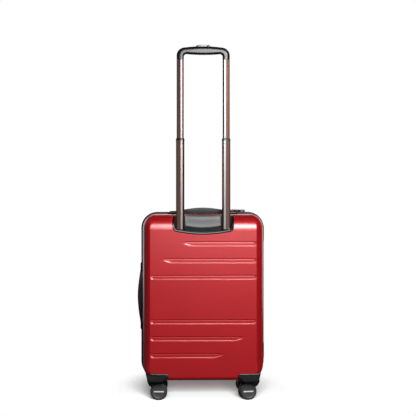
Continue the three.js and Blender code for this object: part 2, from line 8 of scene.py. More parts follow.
import bmesh
import bpy
import numpy as np
from mathutils import Vector
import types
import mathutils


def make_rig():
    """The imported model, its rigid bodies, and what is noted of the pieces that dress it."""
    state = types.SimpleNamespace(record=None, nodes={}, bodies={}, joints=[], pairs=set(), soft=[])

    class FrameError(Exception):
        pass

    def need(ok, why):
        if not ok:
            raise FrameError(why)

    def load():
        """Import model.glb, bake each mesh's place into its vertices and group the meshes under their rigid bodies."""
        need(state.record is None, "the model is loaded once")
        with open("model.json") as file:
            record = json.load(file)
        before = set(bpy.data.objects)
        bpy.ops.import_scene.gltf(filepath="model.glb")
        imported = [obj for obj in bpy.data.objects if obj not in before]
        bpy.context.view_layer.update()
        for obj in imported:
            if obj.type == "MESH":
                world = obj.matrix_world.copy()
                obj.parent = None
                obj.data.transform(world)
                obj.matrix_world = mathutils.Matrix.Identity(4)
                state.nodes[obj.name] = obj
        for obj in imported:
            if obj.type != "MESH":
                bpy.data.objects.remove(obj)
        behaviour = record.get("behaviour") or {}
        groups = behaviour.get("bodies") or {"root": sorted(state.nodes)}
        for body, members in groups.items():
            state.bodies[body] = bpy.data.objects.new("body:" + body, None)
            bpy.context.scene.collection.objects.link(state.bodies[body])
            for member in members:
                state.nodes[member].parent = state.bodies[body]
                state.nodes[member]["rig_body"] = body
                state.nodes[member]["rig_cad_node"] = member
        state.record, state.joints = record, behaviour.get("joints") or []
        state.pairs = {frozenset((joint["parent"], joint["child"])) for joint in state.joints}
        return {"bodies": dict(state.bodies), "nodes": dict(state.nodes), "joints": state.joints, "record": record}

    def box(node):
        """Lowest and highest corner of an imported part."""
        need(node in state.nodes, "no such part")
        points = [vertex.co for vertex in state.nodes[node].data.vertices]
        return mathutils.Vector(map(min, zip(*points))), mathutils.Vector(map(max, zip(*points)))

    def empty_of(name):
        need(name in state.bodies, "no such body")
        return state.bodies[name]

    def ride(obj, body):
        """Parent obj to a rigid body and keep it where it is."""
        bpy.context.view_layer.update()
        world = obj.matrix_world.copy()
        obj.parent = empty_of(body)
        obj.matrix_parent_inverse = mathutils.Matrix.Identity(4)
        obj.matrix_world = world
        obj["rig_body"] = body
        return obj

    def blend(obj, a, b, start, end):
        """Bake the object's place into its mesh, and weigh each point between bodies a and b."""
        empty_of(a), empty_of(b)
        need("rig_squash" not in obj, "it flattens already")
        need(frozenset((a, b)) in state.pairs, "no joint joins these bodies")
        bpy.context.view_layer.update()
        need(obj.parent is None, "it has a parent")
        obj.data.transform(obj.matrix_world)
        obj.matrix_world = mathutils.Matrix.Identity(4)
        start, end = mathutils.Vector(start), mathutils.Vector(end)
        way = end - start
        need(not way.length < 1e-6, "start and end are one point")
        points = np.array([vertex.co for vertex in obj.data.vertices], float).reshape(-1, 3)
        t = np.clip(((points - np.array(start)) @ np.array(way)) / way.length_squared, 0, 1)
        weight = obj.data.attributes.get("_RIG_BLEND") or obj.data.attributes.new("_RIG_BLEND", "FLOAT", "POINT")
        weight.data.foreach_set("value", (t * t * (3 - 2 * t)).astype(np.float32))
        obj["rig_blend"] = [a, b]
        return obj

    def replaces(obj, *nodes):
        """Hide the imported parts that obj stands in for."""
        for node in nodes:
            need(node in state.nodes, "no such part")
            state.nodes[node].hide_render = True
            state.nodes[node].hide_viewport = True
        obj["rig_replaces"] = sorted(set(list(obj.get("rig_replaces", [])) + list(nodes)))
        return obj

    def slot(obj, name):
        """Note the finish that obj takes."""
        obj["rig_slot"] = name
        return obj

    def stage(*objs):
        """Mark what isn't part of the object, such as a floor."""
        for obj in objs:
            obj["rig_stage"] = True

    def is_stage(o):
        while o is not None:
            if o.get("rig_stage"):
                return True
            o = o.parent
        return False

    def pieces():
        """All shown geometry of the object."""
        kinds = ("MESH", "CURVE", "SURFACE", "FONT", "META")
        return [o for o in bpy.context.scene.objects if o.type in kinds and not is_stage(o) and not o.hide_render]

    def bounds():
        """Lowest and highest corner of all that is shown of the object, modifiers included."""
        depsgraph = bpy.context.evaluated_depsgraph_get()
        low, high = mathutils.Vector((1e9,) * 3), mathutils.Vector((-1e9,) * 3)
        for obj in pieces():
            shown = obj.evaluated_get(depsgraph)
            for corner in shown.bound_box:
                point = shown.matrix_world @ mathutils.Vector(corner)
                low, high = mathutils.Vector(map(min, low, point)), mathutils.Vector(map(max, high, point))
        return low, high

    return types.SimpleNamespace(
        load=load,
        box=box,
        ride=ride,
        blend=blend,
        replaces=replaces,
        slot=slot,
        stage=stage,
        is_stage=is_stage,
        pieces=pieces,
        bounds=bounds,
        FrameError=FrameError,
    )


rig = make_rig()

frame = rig.load()
cad_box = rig.bounds()


def box_mm(node):
    low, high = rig.box(node)
    return np.array(low) * 1000, np.array(high) * 1000


# ---------- Sizes taken from the frame ----------
shell_low, shell_high = box_mm("back_shell")
CX = (shell_low[0] + shell_high[0]) / 2
HALF_W = (shell_high[0] - shell_low[0]) / 2
BOTTOM, TOP = shell_low[2], shell_high[2]
FACE, LIP = -shell_low[1], -shell_high[1]
LOWER_R, UPPER_R = 47.0, 41.0
SIDE_FILLET, CROWN = 22.0, 45.0
GROOVE_DEPTH = 1.7
BOTTOM_FILLET = 8.0
CREASE = math.sin(math.radians(26))
FULL = 155.5
GROOVES = [(457, -62, FULL), (408, -121, FULL), (360, -FULL, FULL),
           (231, -FULL, FULL), (182, -FULL, 121), (133, -FULL, 62)]


# ---------- Materials ----------
def node(tree, kind, **values):
    made = tree.nodes.new(kind)
    for key, value in values.items():
        if key in made.inputs:
            made.inputs[key].default_value = value
        else:
            setattr(made, key, value)
    return made


SLOTS = {}


def material(name, slot, color, rough, metal=0.0, specular=0.5, tint=(20, 0.15), grain=(900, 0.2, 0.0002),
             stretch=(1, 1, 1), rough_range=0.08, weave=0.0, sockets=None):
    """Base colour with soft variation, uneven roughness, and a grain or weave raised by a bump."""
    made = bpy.data.materials.new(name)
    SLOTS[made.name] = slot
    made.use_nodes = True
    tree = made.node_tree
    shader = tree.nodes["Principled BSDF"]
    shader.inputs["Metallic"].default_value = metal
    shader.inputs["Specular IOR Level"].default_value = specular
    for key, value in (sockets or {}).items():
        shader.inputs[key].default_value = value
    place = tree.nodes.new("ShaderNodeTexCoord")
    scaled = node(tree, "ShaderNodeMapping", Scale=stretch)
    tree.links.new(place.outputs["Object"], scaled.inputs["Vector"])
    cloud = node(tree, "ShaderNodeTexNoise", Scale=tint[0], Detail=4.0)
    tree.links.new(scaled.outputs["Vector"], cloud.inputs["Vector"])
    mix = node(tree, "ShaderNodeMix", data_type="RGBA")
    light = [min(1.0, c * (1 + tint[1])) for c in color]
    dark = [c * (1 - tint[1]) for c in color]
    mix.inputs[6].default_value = (*dark, 1)
    mix.inputs[7].default_value = (*light, 1)
    tree.links.new(cloud.outputs["Fac"], mix.inputs[0])
    tree.links.new(mix.outputs[2], shader.inputs["Base Color"])
    fine = node(tree, "ShaderNodeTexNoise", Scale=grain[0], Detail=3.0)
    tree.links.new(scaled.outputs["Vector"], fine.inputs["Vector"])
    spread = tree.nodes.new("ShaderNodeMapRange")
    spread.inputs["To Min"].default_value = rough - rough_range
    spread.inputs["To Max"].default_value = rough + rough_range
    tree.links.new(cloud.outputs["Fac"], spread.inputs["Value"])
    tree.links.new(spread.outputs["Result"], shader.inputs["Roughness"])
    bump = node(tree, "ShaderNodeBump", Strength=grain[1], Distance=grain[2])
    height = fine.outputs["Fac"]
    if weave:
        threads = []
        for direction in ("X", "Z"):
            wave = node(tree, "ShaderNodeTexWave", Scale=weave, bands_direction=direction)
            tree.links.new(scaled.outputs["Vector"], wave.inputs["Vector"])
            threads.append(wave.outputs["Fac"])
        both = node(tree, "ShaderNodeMath", operation="MAXIMUM")
        tree.links.new(threads[0], both.inputs[0])
        tree.links.new(threads[1], both.inputs[1])
        fuzz = node(tree, "ShaderNodeMath", operation="MULTIPLY_ADD")
        fuzz.inputs[1].default_value = 0.4
        tree.links.new(height, fuzz.inputs[0])
        tree.links.new(both.outputs[0], fuzz.inputs[2])
        height = fuzz.outputs[0]
    tree.links.new(height, bump.inputs["Height"])
    tree.links.new(bump.outputs["Normal"], shader.inputs["Normal"])
    return made


RED = material("red_polycarbonate", "red_shell", (0.47, 0.0042, 0.0095), 0.46, metal=0.2, specular=0.0,
               tint=(14, 0.06), grain=(1400, 0.12, 0.00012), rough_range=0.02,
               sockets={"Coat Weight": 1.0, "Coat Roughness": 0.28, "Coat IOR": 1.65})
BEZEL = material("bezel_black", "black_gloss", (0.006, 0.006, 0.006), 0.2, specular=0.2, tint=(30, 0.3),
                 grain=(700, 0.05, 0.00005), rough_range=0.03)
GLOSS = material("black_gloss", "black_gloss", (0.005, 0.005, 0.005), 0.17, tint=(30, 0.3),
                 grain=(700, 0.05, 0.0001), rough_range=0.04)
# Painted reflection: the panel is the housing's black gloss plastic, and this grey base colour stands in for the key
# light's reflection on it.
PANEL_PAINTED_REFLECTION = material("grey_textured_panel", "black_gloss", (0.085, 0.092, 0.094), 0.5, tint=(60, 0.35),
                 grain=(1500, 0.45, 0.0003), rough_range=0.1)
SATIN = material("black_satin", "black_satin", (0.009, 0.009, 0.009), 0.36, tint=(40, 0.25),
                 grain=(1600, 0.3, 0.0002))
GRIP = material("grip_black", "black_satin", (0.006, 0.006, 0.006), 0.27, specular=0.34, tint=(40, 0.2),
                grain=(500, 0.02, 0.00001), rough_range=0.03)
STRAP = material("handle_black", "black_satin", (0.008, 0.008, 0.008), 0.42, specular=0.27, tint=(40, 0.25),
                 grain=(1600, 0.25, 0.00015))
FRAME = material("frame_black", "black_satin", (0.006, 0.0055, 0.0055), 0.5, specular=0.25, tint=(50, 0.3),
                 grain=(1200, 0.15, 0.0001))
TAPE = material("woven_tape", "black_fabric", (0.016, 0.016, 0.017), 0.85, tint=(80, 0.3),
                grain=(2500, 0.4, 0.0002), weave=420, sockets={"Sheen Weight": 0.15})
LINING = material("lining_cloth", "lining", (0.032, 0.034, 0.04), 0.8, tint=(25, 0.25),
                  grain=(1800, 0.35, 0.0002), weave=300, sockets={"Sheen Weight": 0.3})
BRONZE = material("bronze_anodised", "bronze", (0.36, 0.21, 0.165), 0.28, metal=1.0, tint=(60, 0.08),
                  grain=(500, 0.02, 0.00001), stretch=(1, 1, 0.02), rough_range=0.04)
SILVER = material("cut_aluminium", "bronze", (0.74, 0.73, 0.73), 0.3, metal=1.0, tint=(60, 0.04),
                  grain=(500, 0.02, 0.00001), stretch=(1, 1, 0.02), rough_range=0.03)
STEEL = material("steel", "steel", (0.42, 0.42, 0.43), 0.3, metal=1.0, tint=(60, 0.1),
                 grain=(900, 0.1, 0.0001), stretch=(1, 1, 0.05))
BUTTON = material("grey_button", "grey_button", (0.36, 0.37, 0.375), 0.4, tint=(50, 0.08),
                  grain=(1500, 0.2, 0.0001))
NICKEL = material("dark_nickel", "zip_metal", (0.09, 0.09, 0.095), 0.3, metal=0.9, tint=(80, 0.2),
                  grain=(900, 0.15, 0.0001))
TYRE = material("tyre", "wheel", (0.022, 0.022, 0.023), 0.6, tint=(60, 0.3), grain=(1500, 0.4, 0.0003))
CAP = material("wheel_cap", "wheel", (0.055, 0.056, 0.057), 0.45, tint=(60, 0.2), grain=(1800, 0.3, 0.0002))
INLAY = material("pale_inlay", "grey_button", (0.92, 0.93, 0.95), 0.4, tint=(60, 0.05),
                 grain=(1500, 0.1, 0.0001))
DIAL = material("dial", "dial", (0.5, 0.5, 0.51), 0.35, tint=(60, 0.08), grain=(1500, 0.1, 0.0001))


# ---------- Mesh helpers ----------
def crease(obj, angle):
    """Smooth shading, with a hard edge wherever two faces meet at more than the angle."""
    mesh = obj.data
    mesh.polygons.foreach_set("use_smooth", [True] * len(mesh.polygons))
    made = bmesh.new()
    made.from_mesh(mesh)
    for edge in made.edges:
        edge.smooth = not (len(edge.link_faces) == 2 and edge.calc_face_angle() > math.radians(angle))
    made.to_mesh(mesh)
    made.free()


def mesh_object(name, form, shift=True, clean=True):
    """An object from a form in mm, with x counted from the middle of the case if shift is on."""
    verts, faces = form
    points = np.array(verts, float).reshape(-1, 3)
    if shift:
        points = points + np.array([CX, 0, 0])
    mesh = bpy.data.meshes.new(name)
    mesh.from_pydata([tuple(p) for p in points / 1000], [], [tuple(map(int, f)) for f in faces])
    made = bmesh.new()
    made.from_mesh(mesh)
    if clean:
        bmesh.ops.remove_doubles(made, verts=made.verts, dist=1e-6)
        bmesh.ops.dissolve_degenerate(made, edges=made.edges, dist=1e-7)
    bmesh.ops.recalc_face_normals(made, faces=made.faces)
    made.to_mesh(mesh)
    made.free()
    obj = bpy.data.objects.new(name, mesh)
    bpy.context.scene.collection.objects.link(obj)
    return obj


def piece(name, form, mat, body, replaces=None, angle=40, shift=True, slot=None):
    obj = mesh_object(name, form, shift)
    obj.data.materials.append(mat)
    crease(obj, angle)
    if isinstance(body, tuple):
        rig.blend(obj, *body)
    else:
        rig.ride(obj, body)
    if replaces:
        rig.replaces(obj, replaces)
    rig.slot(obj, slot or SLOTS[mat.name])
    return obj


def apply_modifiers(obj):
    graph = bpy.context.evaluated_depsgraph_get()
    mesh = bpy.data.meshes.new_from_object(obj.evaluated_get(graph))
    obj.modifiers.clear()
    obj.data = mesh


class Parts:
    """Collects several closed forms into one piece."""

    def __init__(self):
        self.verts, self.faces = [], []

    def add(self, verts, faces):
        start = len(self.verts)
        self.verts.extend(np.array(verts, float).reshape(-1, 3).tolist())
        self.faces.extend([[i + start for i in f] for f in faces])
        return self

    def moved(self, fn):
        self.verts = [list(fn(np.array(v))) for v in self.verts]
        return self

    def __iter__(self):
        return iter((self.verts, self.faces))


def shifted(form, offset):
    verts, faces = form
    return np.array(verts, float).reshape(-1, 3) + np.array(offset), faces


def grid(points, close_u=False, close_v=False, cap_v=False):
    """Quads over points[u][v]; cap_v closes the first and last u rows with one face each."""
    points = np.array(points, float)
    nu, nv = points.shape[:2]
    faces = []
    for u in range(nu if close_u else nu - 1):
        for v in range(nv if close_v else nv - 1):
            a, b = u * nv + v, u * nv + (v + 1) % nv
            c, d = ((u + 1) % nu) * nv + (v + 1) % nv, ((u + 1) % nu) * nv + v
            faces.append((a, b, c, d))
    if cap_v:
        faces.append(tuple(range(nv)))
        faces.append(tuple(range((nu - 1) * nv, nu * nv))[::-1])
    return points.reshape(-1, 3), faces


def rounded_poly(points, radii, steps=6, even=False):
    """A closed outline with each corner rounded by its own radius. even keeps the number of points fixed."""
    points = [np.array(p, float) for p in points]
    if not hasattr(radii, "__len__"):
        radii = [radii] * len(points)
    out = []
    for i, p in enumerate(points):
        before, after = points[i - 1] - p, points[(i + 1) % len(points)] - p
        lb, la = np.linalg.norm(before), np.linalg.norm(after)
        before, after = before / lb, after / la
        half = math.acos(np.clip(before @ after, -1, 1)) / 2
        if radii[i] <= 0 or half > math.pi / 2 - 0.02:
            out.extend([p] * (steps + 1 if even else 1))
            continue
        reach = min(radii[i] / math.tan(half), lb * 0.49, la * 0.49)
        radius = reach * math.tan(half)
        centre = p + (before + after) / np.linalg.norm(before + after) * radius / math.sin(half)
        start, end = p + before * reach - centre, p + after * reach - centre
        a0, a1 = math.atan2(start[1], start[0]), math.atan2(end[1], end[0])
        turn = (a1 - a0 + math.pi) % (2 * math.pi) - math.pi
        for k in range(steps + 1):
            a = a0 + turn * k / steps
            out.append(centre + radius * np.array([math.cos(a), math.sin(a)]))
    return np.array(out)


def rounded_box_outline(left, right, low, high, lower, upper=None, steps=10):
    upper = lower if upper is None else upper
    corners = [(left, low), (right, low), (right, high), (left, high)]
    return rounded_poly(corners, [lower, lower, upper, upper], steps)


def spaced(outline, step):
    """The outline with long sides split, so that no edge is longer than step."""
    out = []
    for i, p in enumerate(outline):
        q = outline[(i + 1) % len(outline)]
        count = max(1, int(np.linalg.norm(q - p) / step + 0.99))
        out.extend(p + (q - p) * k / count for k in range(count))
    return np.array(out)


def inset(outline, distance):
    """Moves a counter-clockwise outline inwards along its normals, by one distance or one for each point."""
    before, after = np.roll(outline, 1, 0), np.roll(outline, -1, 0)
    e1, e2 = outline - before, after - outline
    e1 /= np.linalg.norm(e1, axis=1)[:, None] + 1e-12
    e2 /= np.linalg.norm(e2, axis=1)[:, None] + 1e-12
    n1, n2 = np.stack([-e1[:, 1], e1[:, 0]], 1), np.stack([-e2[:, 1], e2[:, 0]], 1)
    normal = n1 + n2
    normal /= np.linalg.norm(normal, axis=1)[:, None] + 1e-12
    stretch = 1 / np.clip((normal * n1).sum(1), 0.5, 1)
    return outline + normal * (np.asarray(distance) * stretch)[:, None]


LIFT = {
    "x": lambda p, w: np.array([w, p[0], p[1]]),
    "y": lambda p, w: np.array([p[0], w, p[1]]),
    "z": lambda p, w: np.array([p[0], p[1], w]),
}


def prism(outline, axis, low, high, rim_low=0.0, rim_high=0.0, steps=5, share=1.0):
    """A flat outline pulled along an axis, its two rims rounded. share scales the rounding for each point."""
    rows = []

    def ring(distance, w):
        rows.append([LIFT[axis](p, w) for p in (inset(outline, distance * share) if distance else outline)])

    if rim_low:
        ring(rim_low + 0.6, low)
        for k in range(steps + 1):
            a = math.pi / 2 * k / steps
            ring(rim_low * (1 - math.sin(a)), low + rim_low * (1 - math.cos(a)))
    else:
        ring(0, low)
    if rim_high:
        for k in range(steps + 1):
            a = math.pi / 2 * (1 - k / steps)
            ring(rim_high * (1 - math.sin(a)), high - rim_high * (1 - math.cos(a)))
        ring(rim_high + 0.6, high)
    else:
        ring(0, high)
    return grid(rows, close_v=True, cap_v=True)


def loft(rings):
    return grid(rings, close_v=True, cap_v=True)


def tube(outer, inner, low, high, chamfer=0.4):
    """A straight hollow tube along Z between two outlines with the same number of points."""
    rings = [
        [(*p, low) for p in outer], [(*p, high - chamfer) for p in outer],
        [(*(p * 0.5 + q * 0.5), high) for p, q in zip(outer, inner)],
        [(*q, high - chamfer) for q in inner], [(*q, low) for q in inner],
    ]
    return grid(rings, close_u=True, close_v=True)


def turned(profile, steps=48, axis="y"):
    """A closed (radius, along) profile turned about an axis through the origin."""
    rows = []
    for k in range(steps):
        c, s = math.cos(2 * math.pi * k / steps), math.sin(2 * math.pi * k / steps)
        if axis == "y":
            rows.append([(r * c, w, r * s) for r, w in profile])
        elif axis == "x":
            rows.append([(w, r * c, r * s) for r, w in profile])
        else:
            rows.append([(r * c, r * s, w) for r, w in profile])
    return grid(rows, close_u=True, close_v=True)


def smooth(t):
    t = np.clip(t, 0, 1)
    return t * t * (3 - 2 * t)


# ---------- The case's surface ----------
def groove_depth(x, z):
    """Depth of the pressed grooves: steep walls, a stepped floor, and tips that narrow from below."""
    total = np.zeros_like(x)
    for height, left, right in GROOVES:
        ends = []
        for reach, end in ((x - left, left), (right - x, right)):
            long = 9.0 if abs(end) == FULL else 34.0
            ends.append(np.clip(reach / long, 0, 1))
        u = np.minimum(*ends)
        tip = np.where(np.abs(x) < FULL - 10, smooth(u), u)
        upper, lower = height + 6.7, height - 6.7 + 7.0 * (1 - tip)
        floor = 1 - 0.14 * smooth((upper - 2.4 - z) / 2.4)
        wall = np.minimum(smooth((upper - z) / 2.4), smooth((z - lower) / 1.6))
        total = np.maximum(total, GROOVE_DEPTH * floor * wall * smooth(u * 1.3))
    return total


def case_grid(step_x, step_z, inward=0.0, fillet_steps=9, dense_grooves=True):
    """Rows of x, z and distance from the outline over the face, dense where the surface turns."""
    width = HALF_W - inward
    turn = np.concatenate([1 - np.cos(np.linspace(0, math.pi / 2, fillet_steps + 1)), [1.06]])
    turn = np.sort(np.concatenate([turn, [0.86, 0.93, 0.965]]))
    side = (SIDE_FILLET - inward) * turn
    flat = np.linspace(-width + side[-1], width - side[-1], int(2 * (width - side[-1]) / step_x) + 1)[1:-1]
    columns = np.concatenate([-width + side, flat, (width - side)[::-1]])
    low, high = BOTTOM + inward, TOP - inward
    inner_low, inner_high = low + side[-1], TOP - 62
    heights = list(np.arange(inner_low + step_z, inner_high, step_z))
    if dense_grooves:
        offsets = [0, 1.2, 1.8, 2.4, 3, 3.6, 4.1, 4.6, 5.1, 5.6, 6.1, 6.7, 7.3, 8.6, 10]
        for z, _, _ in GROOVES:
            heights = [h for h in heights if abs(h - z) > 11.5]
            heights += [z + s * o for o in offsets for s in ((1, -1) if o else (1,))]
    heights = np.array(sorted(heights))
    top_turn = 1 - np.cos(np.linspace(0, math.pi / 2, fillet_steps + 4))
    rows = []
    for d in side:
        rows.append(np.full_like(columns, low + d))
    for h in heights:
        rows.append(np.full_like(columns, h))
    crown = CROWN - inward
    for k in (0, 1, 2):
        rows.append(np.full_like(columns, TOP - (60 - (60 - crown - inward) * (k + 0.5) / 3)))
    for t in top_turn[::-1]:
        rows.append(np.full_like(columns, high - crown * t))
    z0 = np.array(rows)
    x0 = np.tile(columns, (len(rows), 1))
    dx = width - np.abs(x0)
    dz = np.minimum(z0 - low, high - z0)
    upper = high - z0 < z0 - low
    distance = np.maximum(np.minimum(dx, dz), 0)
    radius = np.where(upper, UPPER_R, LOWER_R) - inward
    a, b = np.clip(1 - dx / radius, 0, 1), np.clip(1 - dz / radius, 0, 1)
    corner = (a > 0) & (b > 0)
    r = np.maximum(a, b)
    safe = np.maximum(r, 1e-9)
    phi = np.where(a >= b, math.pi / 4 * b / safe, math.pi / 2 - math.pi / 4 * a / safe)
    x = np.where(corner, np.sign(x0) * (width - radius + radius * r * np.cos(phi)), x0)
    away = radius * r * np.sin(phi)
    z = np.where(corner, np.where(upper, high - radius + away, low + radius - away), z0)
    return x, z, distance


def fillet_drop(distance, fillet, crease=0.0):
    """Depth of a rounded edge. It leaves the face at the crease's angle, and ends square to it."""
    part = np.clip(1 - distance / fillet, 0, 1)
    radius = fillet / (1 - crease)
    sine = crease + (1 - crease) * part
    depth = radius * (math.sqrt(1 - crease ** 2) - np.sqrt(np.clip(1 - sine ** 2, 0, None)))
    return depth * smooth(part * 9) if crease else depth


def case_drop(distance, z, inward=0.0):
    """How far the surface lies behind the face: creased sides, a small bottom edge, a long crown."""
    fillet = BOTTOM_FILLET + (SIDE_FILLET - BOTTOM_FILLET) * smooth((z - BOTTOM - 4) / 52)
    sides = fillet_drop(distance, fillet - inward, CREASE)
    crown = fillet_drop(TOP - inward - z, CROWN - inward)
    return (sides + crown + np.sqrt((sides - crown) ** 2 + 1.2 * np.minimum(sides, crown))) / 2


def surface_y(x, z):
    """Y of the back face at a point away from the corners, grooves left out."""
    return -FACE + case_drop(HALF_W - np.abs(x), z)


def perimeter(points):
    """The border of a grid of rows and columns, as one closed loop."""
    return np.concatenate([points[0, :-1], points[:-1, -1], points[-1, :0:-1], points[:0:-1, 0]])


RECESS_HALF = 83
RECESS_CORNER = 10
RECESS_FLAT = RECESS_HALF - RECESS_CORNER
RECESS_TOP = 538.2
SILL, SILL_DIP = 498, 483


def sill(t):
    """Height of the recess floor, a shallow curve, at a share t of its width."""
    return (1 - t) ** 2 * SILL + 2 * t * (1 - t) * SILL_DIP + t * t * SILL


def floor_curve(x):
    """Height of the recess floor across its width, its rounded corners included."""
    t = (np.clip(x, -RECESS_FLAT, RECESS_FLAT) + RECESS_FLAT) / (2 * RECESS_FLAT)
    corner = np.clip(np.abs(x) - RECESS_FLAT, 0, RECESS_CORNER)
    return sill(t) + RECESS_CORNER - np.sqrt(RECESS_CORNER ** 2 - corner ** 2)


def with_walls(points, middle_z, lip_y, steps):
    """A face's grid and its wall. A step is a share of the way to the lip, and how far the wall flares."""
    verts, faces = grid(points)
    rows, columns = points.shape[:2]
    border = perimeter(np.arange(rows * columns).reshape(rows, columns, 1))[:, 0]
    edge = verts[border]
    outward = edge[:, [0, 2]] - np.array([0, middle_z])
    outward /= np.linalg.norm(outward, axis=1)[:, None]
    walls = [verts]
    previous = border
    count = len(border)
    for share, flare in steps:
        ring = edge.copy()
        ring[:, 1] = edge[:, 1] + (lip_y - edge[:, 1]) * share
        ring[:, [0, 2]] += outward * flare
        current = np.arange(count) + sum(len(w) for w in walls)
        walls.append(ring)
        faces += [(previous[i], previous[(i + 1) % count], current[(i + 1) % count], current[i])
                  for i in range(count)]
        previous = current
    return np.concatenate(walls), faces


WALL_STEPS = [(0.2, 0), (0.4, 0), (0.6, 0), (0.74, 0.05), (0.82, 0.35), (0.88, 0.9), (0.93, 1.7), (0.97, 2.6),
              (0.99, 3.1), (1.0, 3.2)]


def shell_mesh(back):
    x, z, distance = case_grid(3.2, 6.0)
    y = -FACE + case_drop(distance, z) + groove_depth(x, z)
    verts, faces = with_walls(np.stack([x, y, z], 2), (TOP + BOTTOM) / 2, -LIP, WALL_STEPS)
    if not back:
        return verts * np.array([-1, -1, 1]), faces

    def in_recess(face):
        middle = verts[list(face)].mean(0)
        above_floor = middle[2] > floor_curve(middle[0]) - 3
        return abs(middle[0]) < RECESS_HALF + 3 and above_floor and middle[1] < -88.5

    return verts, [f for f in faces if not in_recess(f)]


def thicken(obj, thickness):
    """Gives an open surface its wall, grown inwards, and applies it."""
    modifier = obj.modifiers.new("wall", "SOLIDIFY")
    modifier.thickness = thickness
    modifier.offset = -1
    apply_modifiers(obj)
    crease(obj, 50)


def outward_check(obj, centre):
    """Turns the faces of an open surface so that they look away from a point inside."""
    made = bmesh.new()
    made.from_mesh(obj.data)
    score = sum((f.calc_center_median() - Vector(centre)).dot(f.normal) * f.calc_area() for f in made.faces)
    if score < 0:
        bmesh.ops.reverse_faces(made, faces=made.faces)
        made.to_mesh(obj.data)
    made.free()


for half, body in (("back", "case"), ("front", "lid")):
    shell = piece(f"shell_{half}", shell_mesh(half == "back"), RED, body, f"{half}_shell", angle=60)
    outward_check(shell, (CX / 1000, 0, 0.3))
    thicken(shell, 0.0022)


# ---------- Zip frames, tape and teeth ----------
def band_outline(out):
    return spaced(rounded_box_outline(-HALF_W - out, HALF_W + out, BOTTOM - out, TOP + out,
                                      LOWER_R + out, UPPER_R + out, 14), 8)


def band(profile):
    """A ring round the case. profile is a closed list of (outward, y)."""
    base = band_outline(0)
    rings = [[(p[0], y, p[1]) for p in inset(base, -out)] for out, y in profile]
    return grid(rings, close_u=True, close_v=True)


PROUD = 6.5
FRAME_PROFILE = [(-3, 13.7), (4.6, 13.7), (5.6, 13.3), (6.3, 12.4), (PROUD, 11), (PROUD, 9.6), (6.1, 9.2),
                 (6.1, 8.8), (PROUD, 8.4), (PROUD, 6.6), (6.2, 5.6), (5.4, 5.1), (-3, 5.1)]
TAPE_PROFILE = [(-3, 4.8), (4.4, 4.8), (4.9, 4.4), (4.9, 1.6), (4.4, 0.5), (-3, 0.5)]

# A zip tooth's section: half its width, its height and its y.
TOOTH = [(0.75, -0.6, 2.6), (0.75, 0.75, 2.2), (0.6, 1.1, 1.4), (0.6, 1.0, -0.1), (0.5, 0.2, -0.45),
         (0.6, -0.6, 0)]
TOOTH_PITCH = 2.6


def teeth(side):
    """Zip teeth along the band, one row a side, half a pitch apart."""
    outline = band_outline(5.0)
    lengths = np.linalg.norm(np.roll(outline, -1, 0) - outline, axis=1)
    total = lengths.sum()
    ends = np.concatenate([[0], np.cumsum(lengths)])
    count = int(total / TOOTH_PITCH)
    parts = Parts()
    for k in range(count):
        s = (k + (0.5 if side > 0 else 0)) * total / count
        i = min(np.searchsorted(ends, s, side="right") - 1, len(outline) - 1)
        p, q = outline[i], outline[(i + 1) % len(outline)]
        along = (q - p) / np.linalg.norm(q - p)
        at = p + along * (s - ends[i])
        out = np.array([along[1], -along[0]])
        ring = []
        for w, h, y in TOOTH:
            left, right = at + along * w + out * h, at - along * w + out * h
            ring.append([(left[0], side * y, left[1]), (right[0], side * y, right[1])])
        corners = [p for pair in ring for p in pair]
        n = len(ring)
        faces = [(2 * a, 2 * a + 1, 2 * ((a + 1) % n) + 1, 2 * ((a + 1) % n)) for a in range(n)]
        faces += [tuple(2 * a for a in range(n)), tuple(2 * a + 1 for a in range(n))]
        parts.add(corners, faces)
    return parts


for side, half, body in ((-1, "back", "case"), (1, "front", "lid")):
    piece(f"frame_{half}", band([(o, side * y) for o, y in FRAME_PROFILE]), FRAME, body, f"{half}_zip_frame",
          angle=50)
    piece(f"tape_{half}", band([(o, side * y) for o, y in TAPE_PROFILE]), TAPE, body, f"{half}_zip_tape",
          angle=50)
    piece(f"zip_teeth_{half}", teeth(side), NICKEL, body, angle=50)


# ---------- Trolley housing ----------
def recess_path():
    """The inner edge of the bezel from its left top round the bottom to its right top."""
    left = [(-RECESS_HALF, RECESS_TOP - 30.2 * k / 12) for k in range(12)]
    corner = [(-RECESS_HALF + 10 * t * t, SILL + 10 - 20 * t + 10 * t * t) for t in np.linspace(0, 1, 9)]
    bottom = [(-RECESS_FLAT + 2 * RECESS_FLAT * t, sill(t)) for t in np.linspace(0, 1, 41)[1:-1]]
    right = [(-x, z) for x, z in (left + corner)[::-1]]
    return np.array(left + corner + bottom + right, float)


# The bezel's rolled edge: distance outwards from the recess, and height over the case.
BEZEL_ROLL = [(0.0, 0.3), (0.35, 0.95), (1.1, 1.4), (2.1, 1.65), (3.3, 1.9), (4.5, 2.1), (5.4, 1.95),
              (6.2, 1.35), (6.8, 0.4), (7.0, -1)]


def housing():
    path = recess_path()
    ahead = np.gradient(path, axis=0)
    ahead /= np.linalg.norm(ahead, axis=1)[:, None]
    out = np.stack([ahead[:, 1], -ahead[:, 0]], 1)
    rings = []
    total = len(path)
    for i in range(total):
        end = smooth(min(i, total - 1 - i) / 4)
        row = []
        for y in (-90.0, -91.5, -98.0, -106.0):
            surface = surface_y(path[i][0], path[i][1])
            row.append((path[i][0], max(y, surface) if y < surface else y, path[i][1]))
        for o, h in BEZEL_ROLL:
            p = path[i] + out[i] * o * (0.55 + 0.45 * end)
            row.append((p[0], surface_y(p[0], p[1]) - h * (0.3 + 0.7 * end), p[1]))
        rings.append(row)
    return grid(rings)


piece("housing_bezel", housing(), BEZEL, "case", "trolley_housing", angle=70)


def panel_edge(x):
    """Height of the panel's lower edge, lower in the middle. The panel's grey colour is a painted reflection of the
    key light on black plastic.
    """
    return 503.0 + 5.5 * np.minimum(np.abs(x) / 52, 1) ** 2


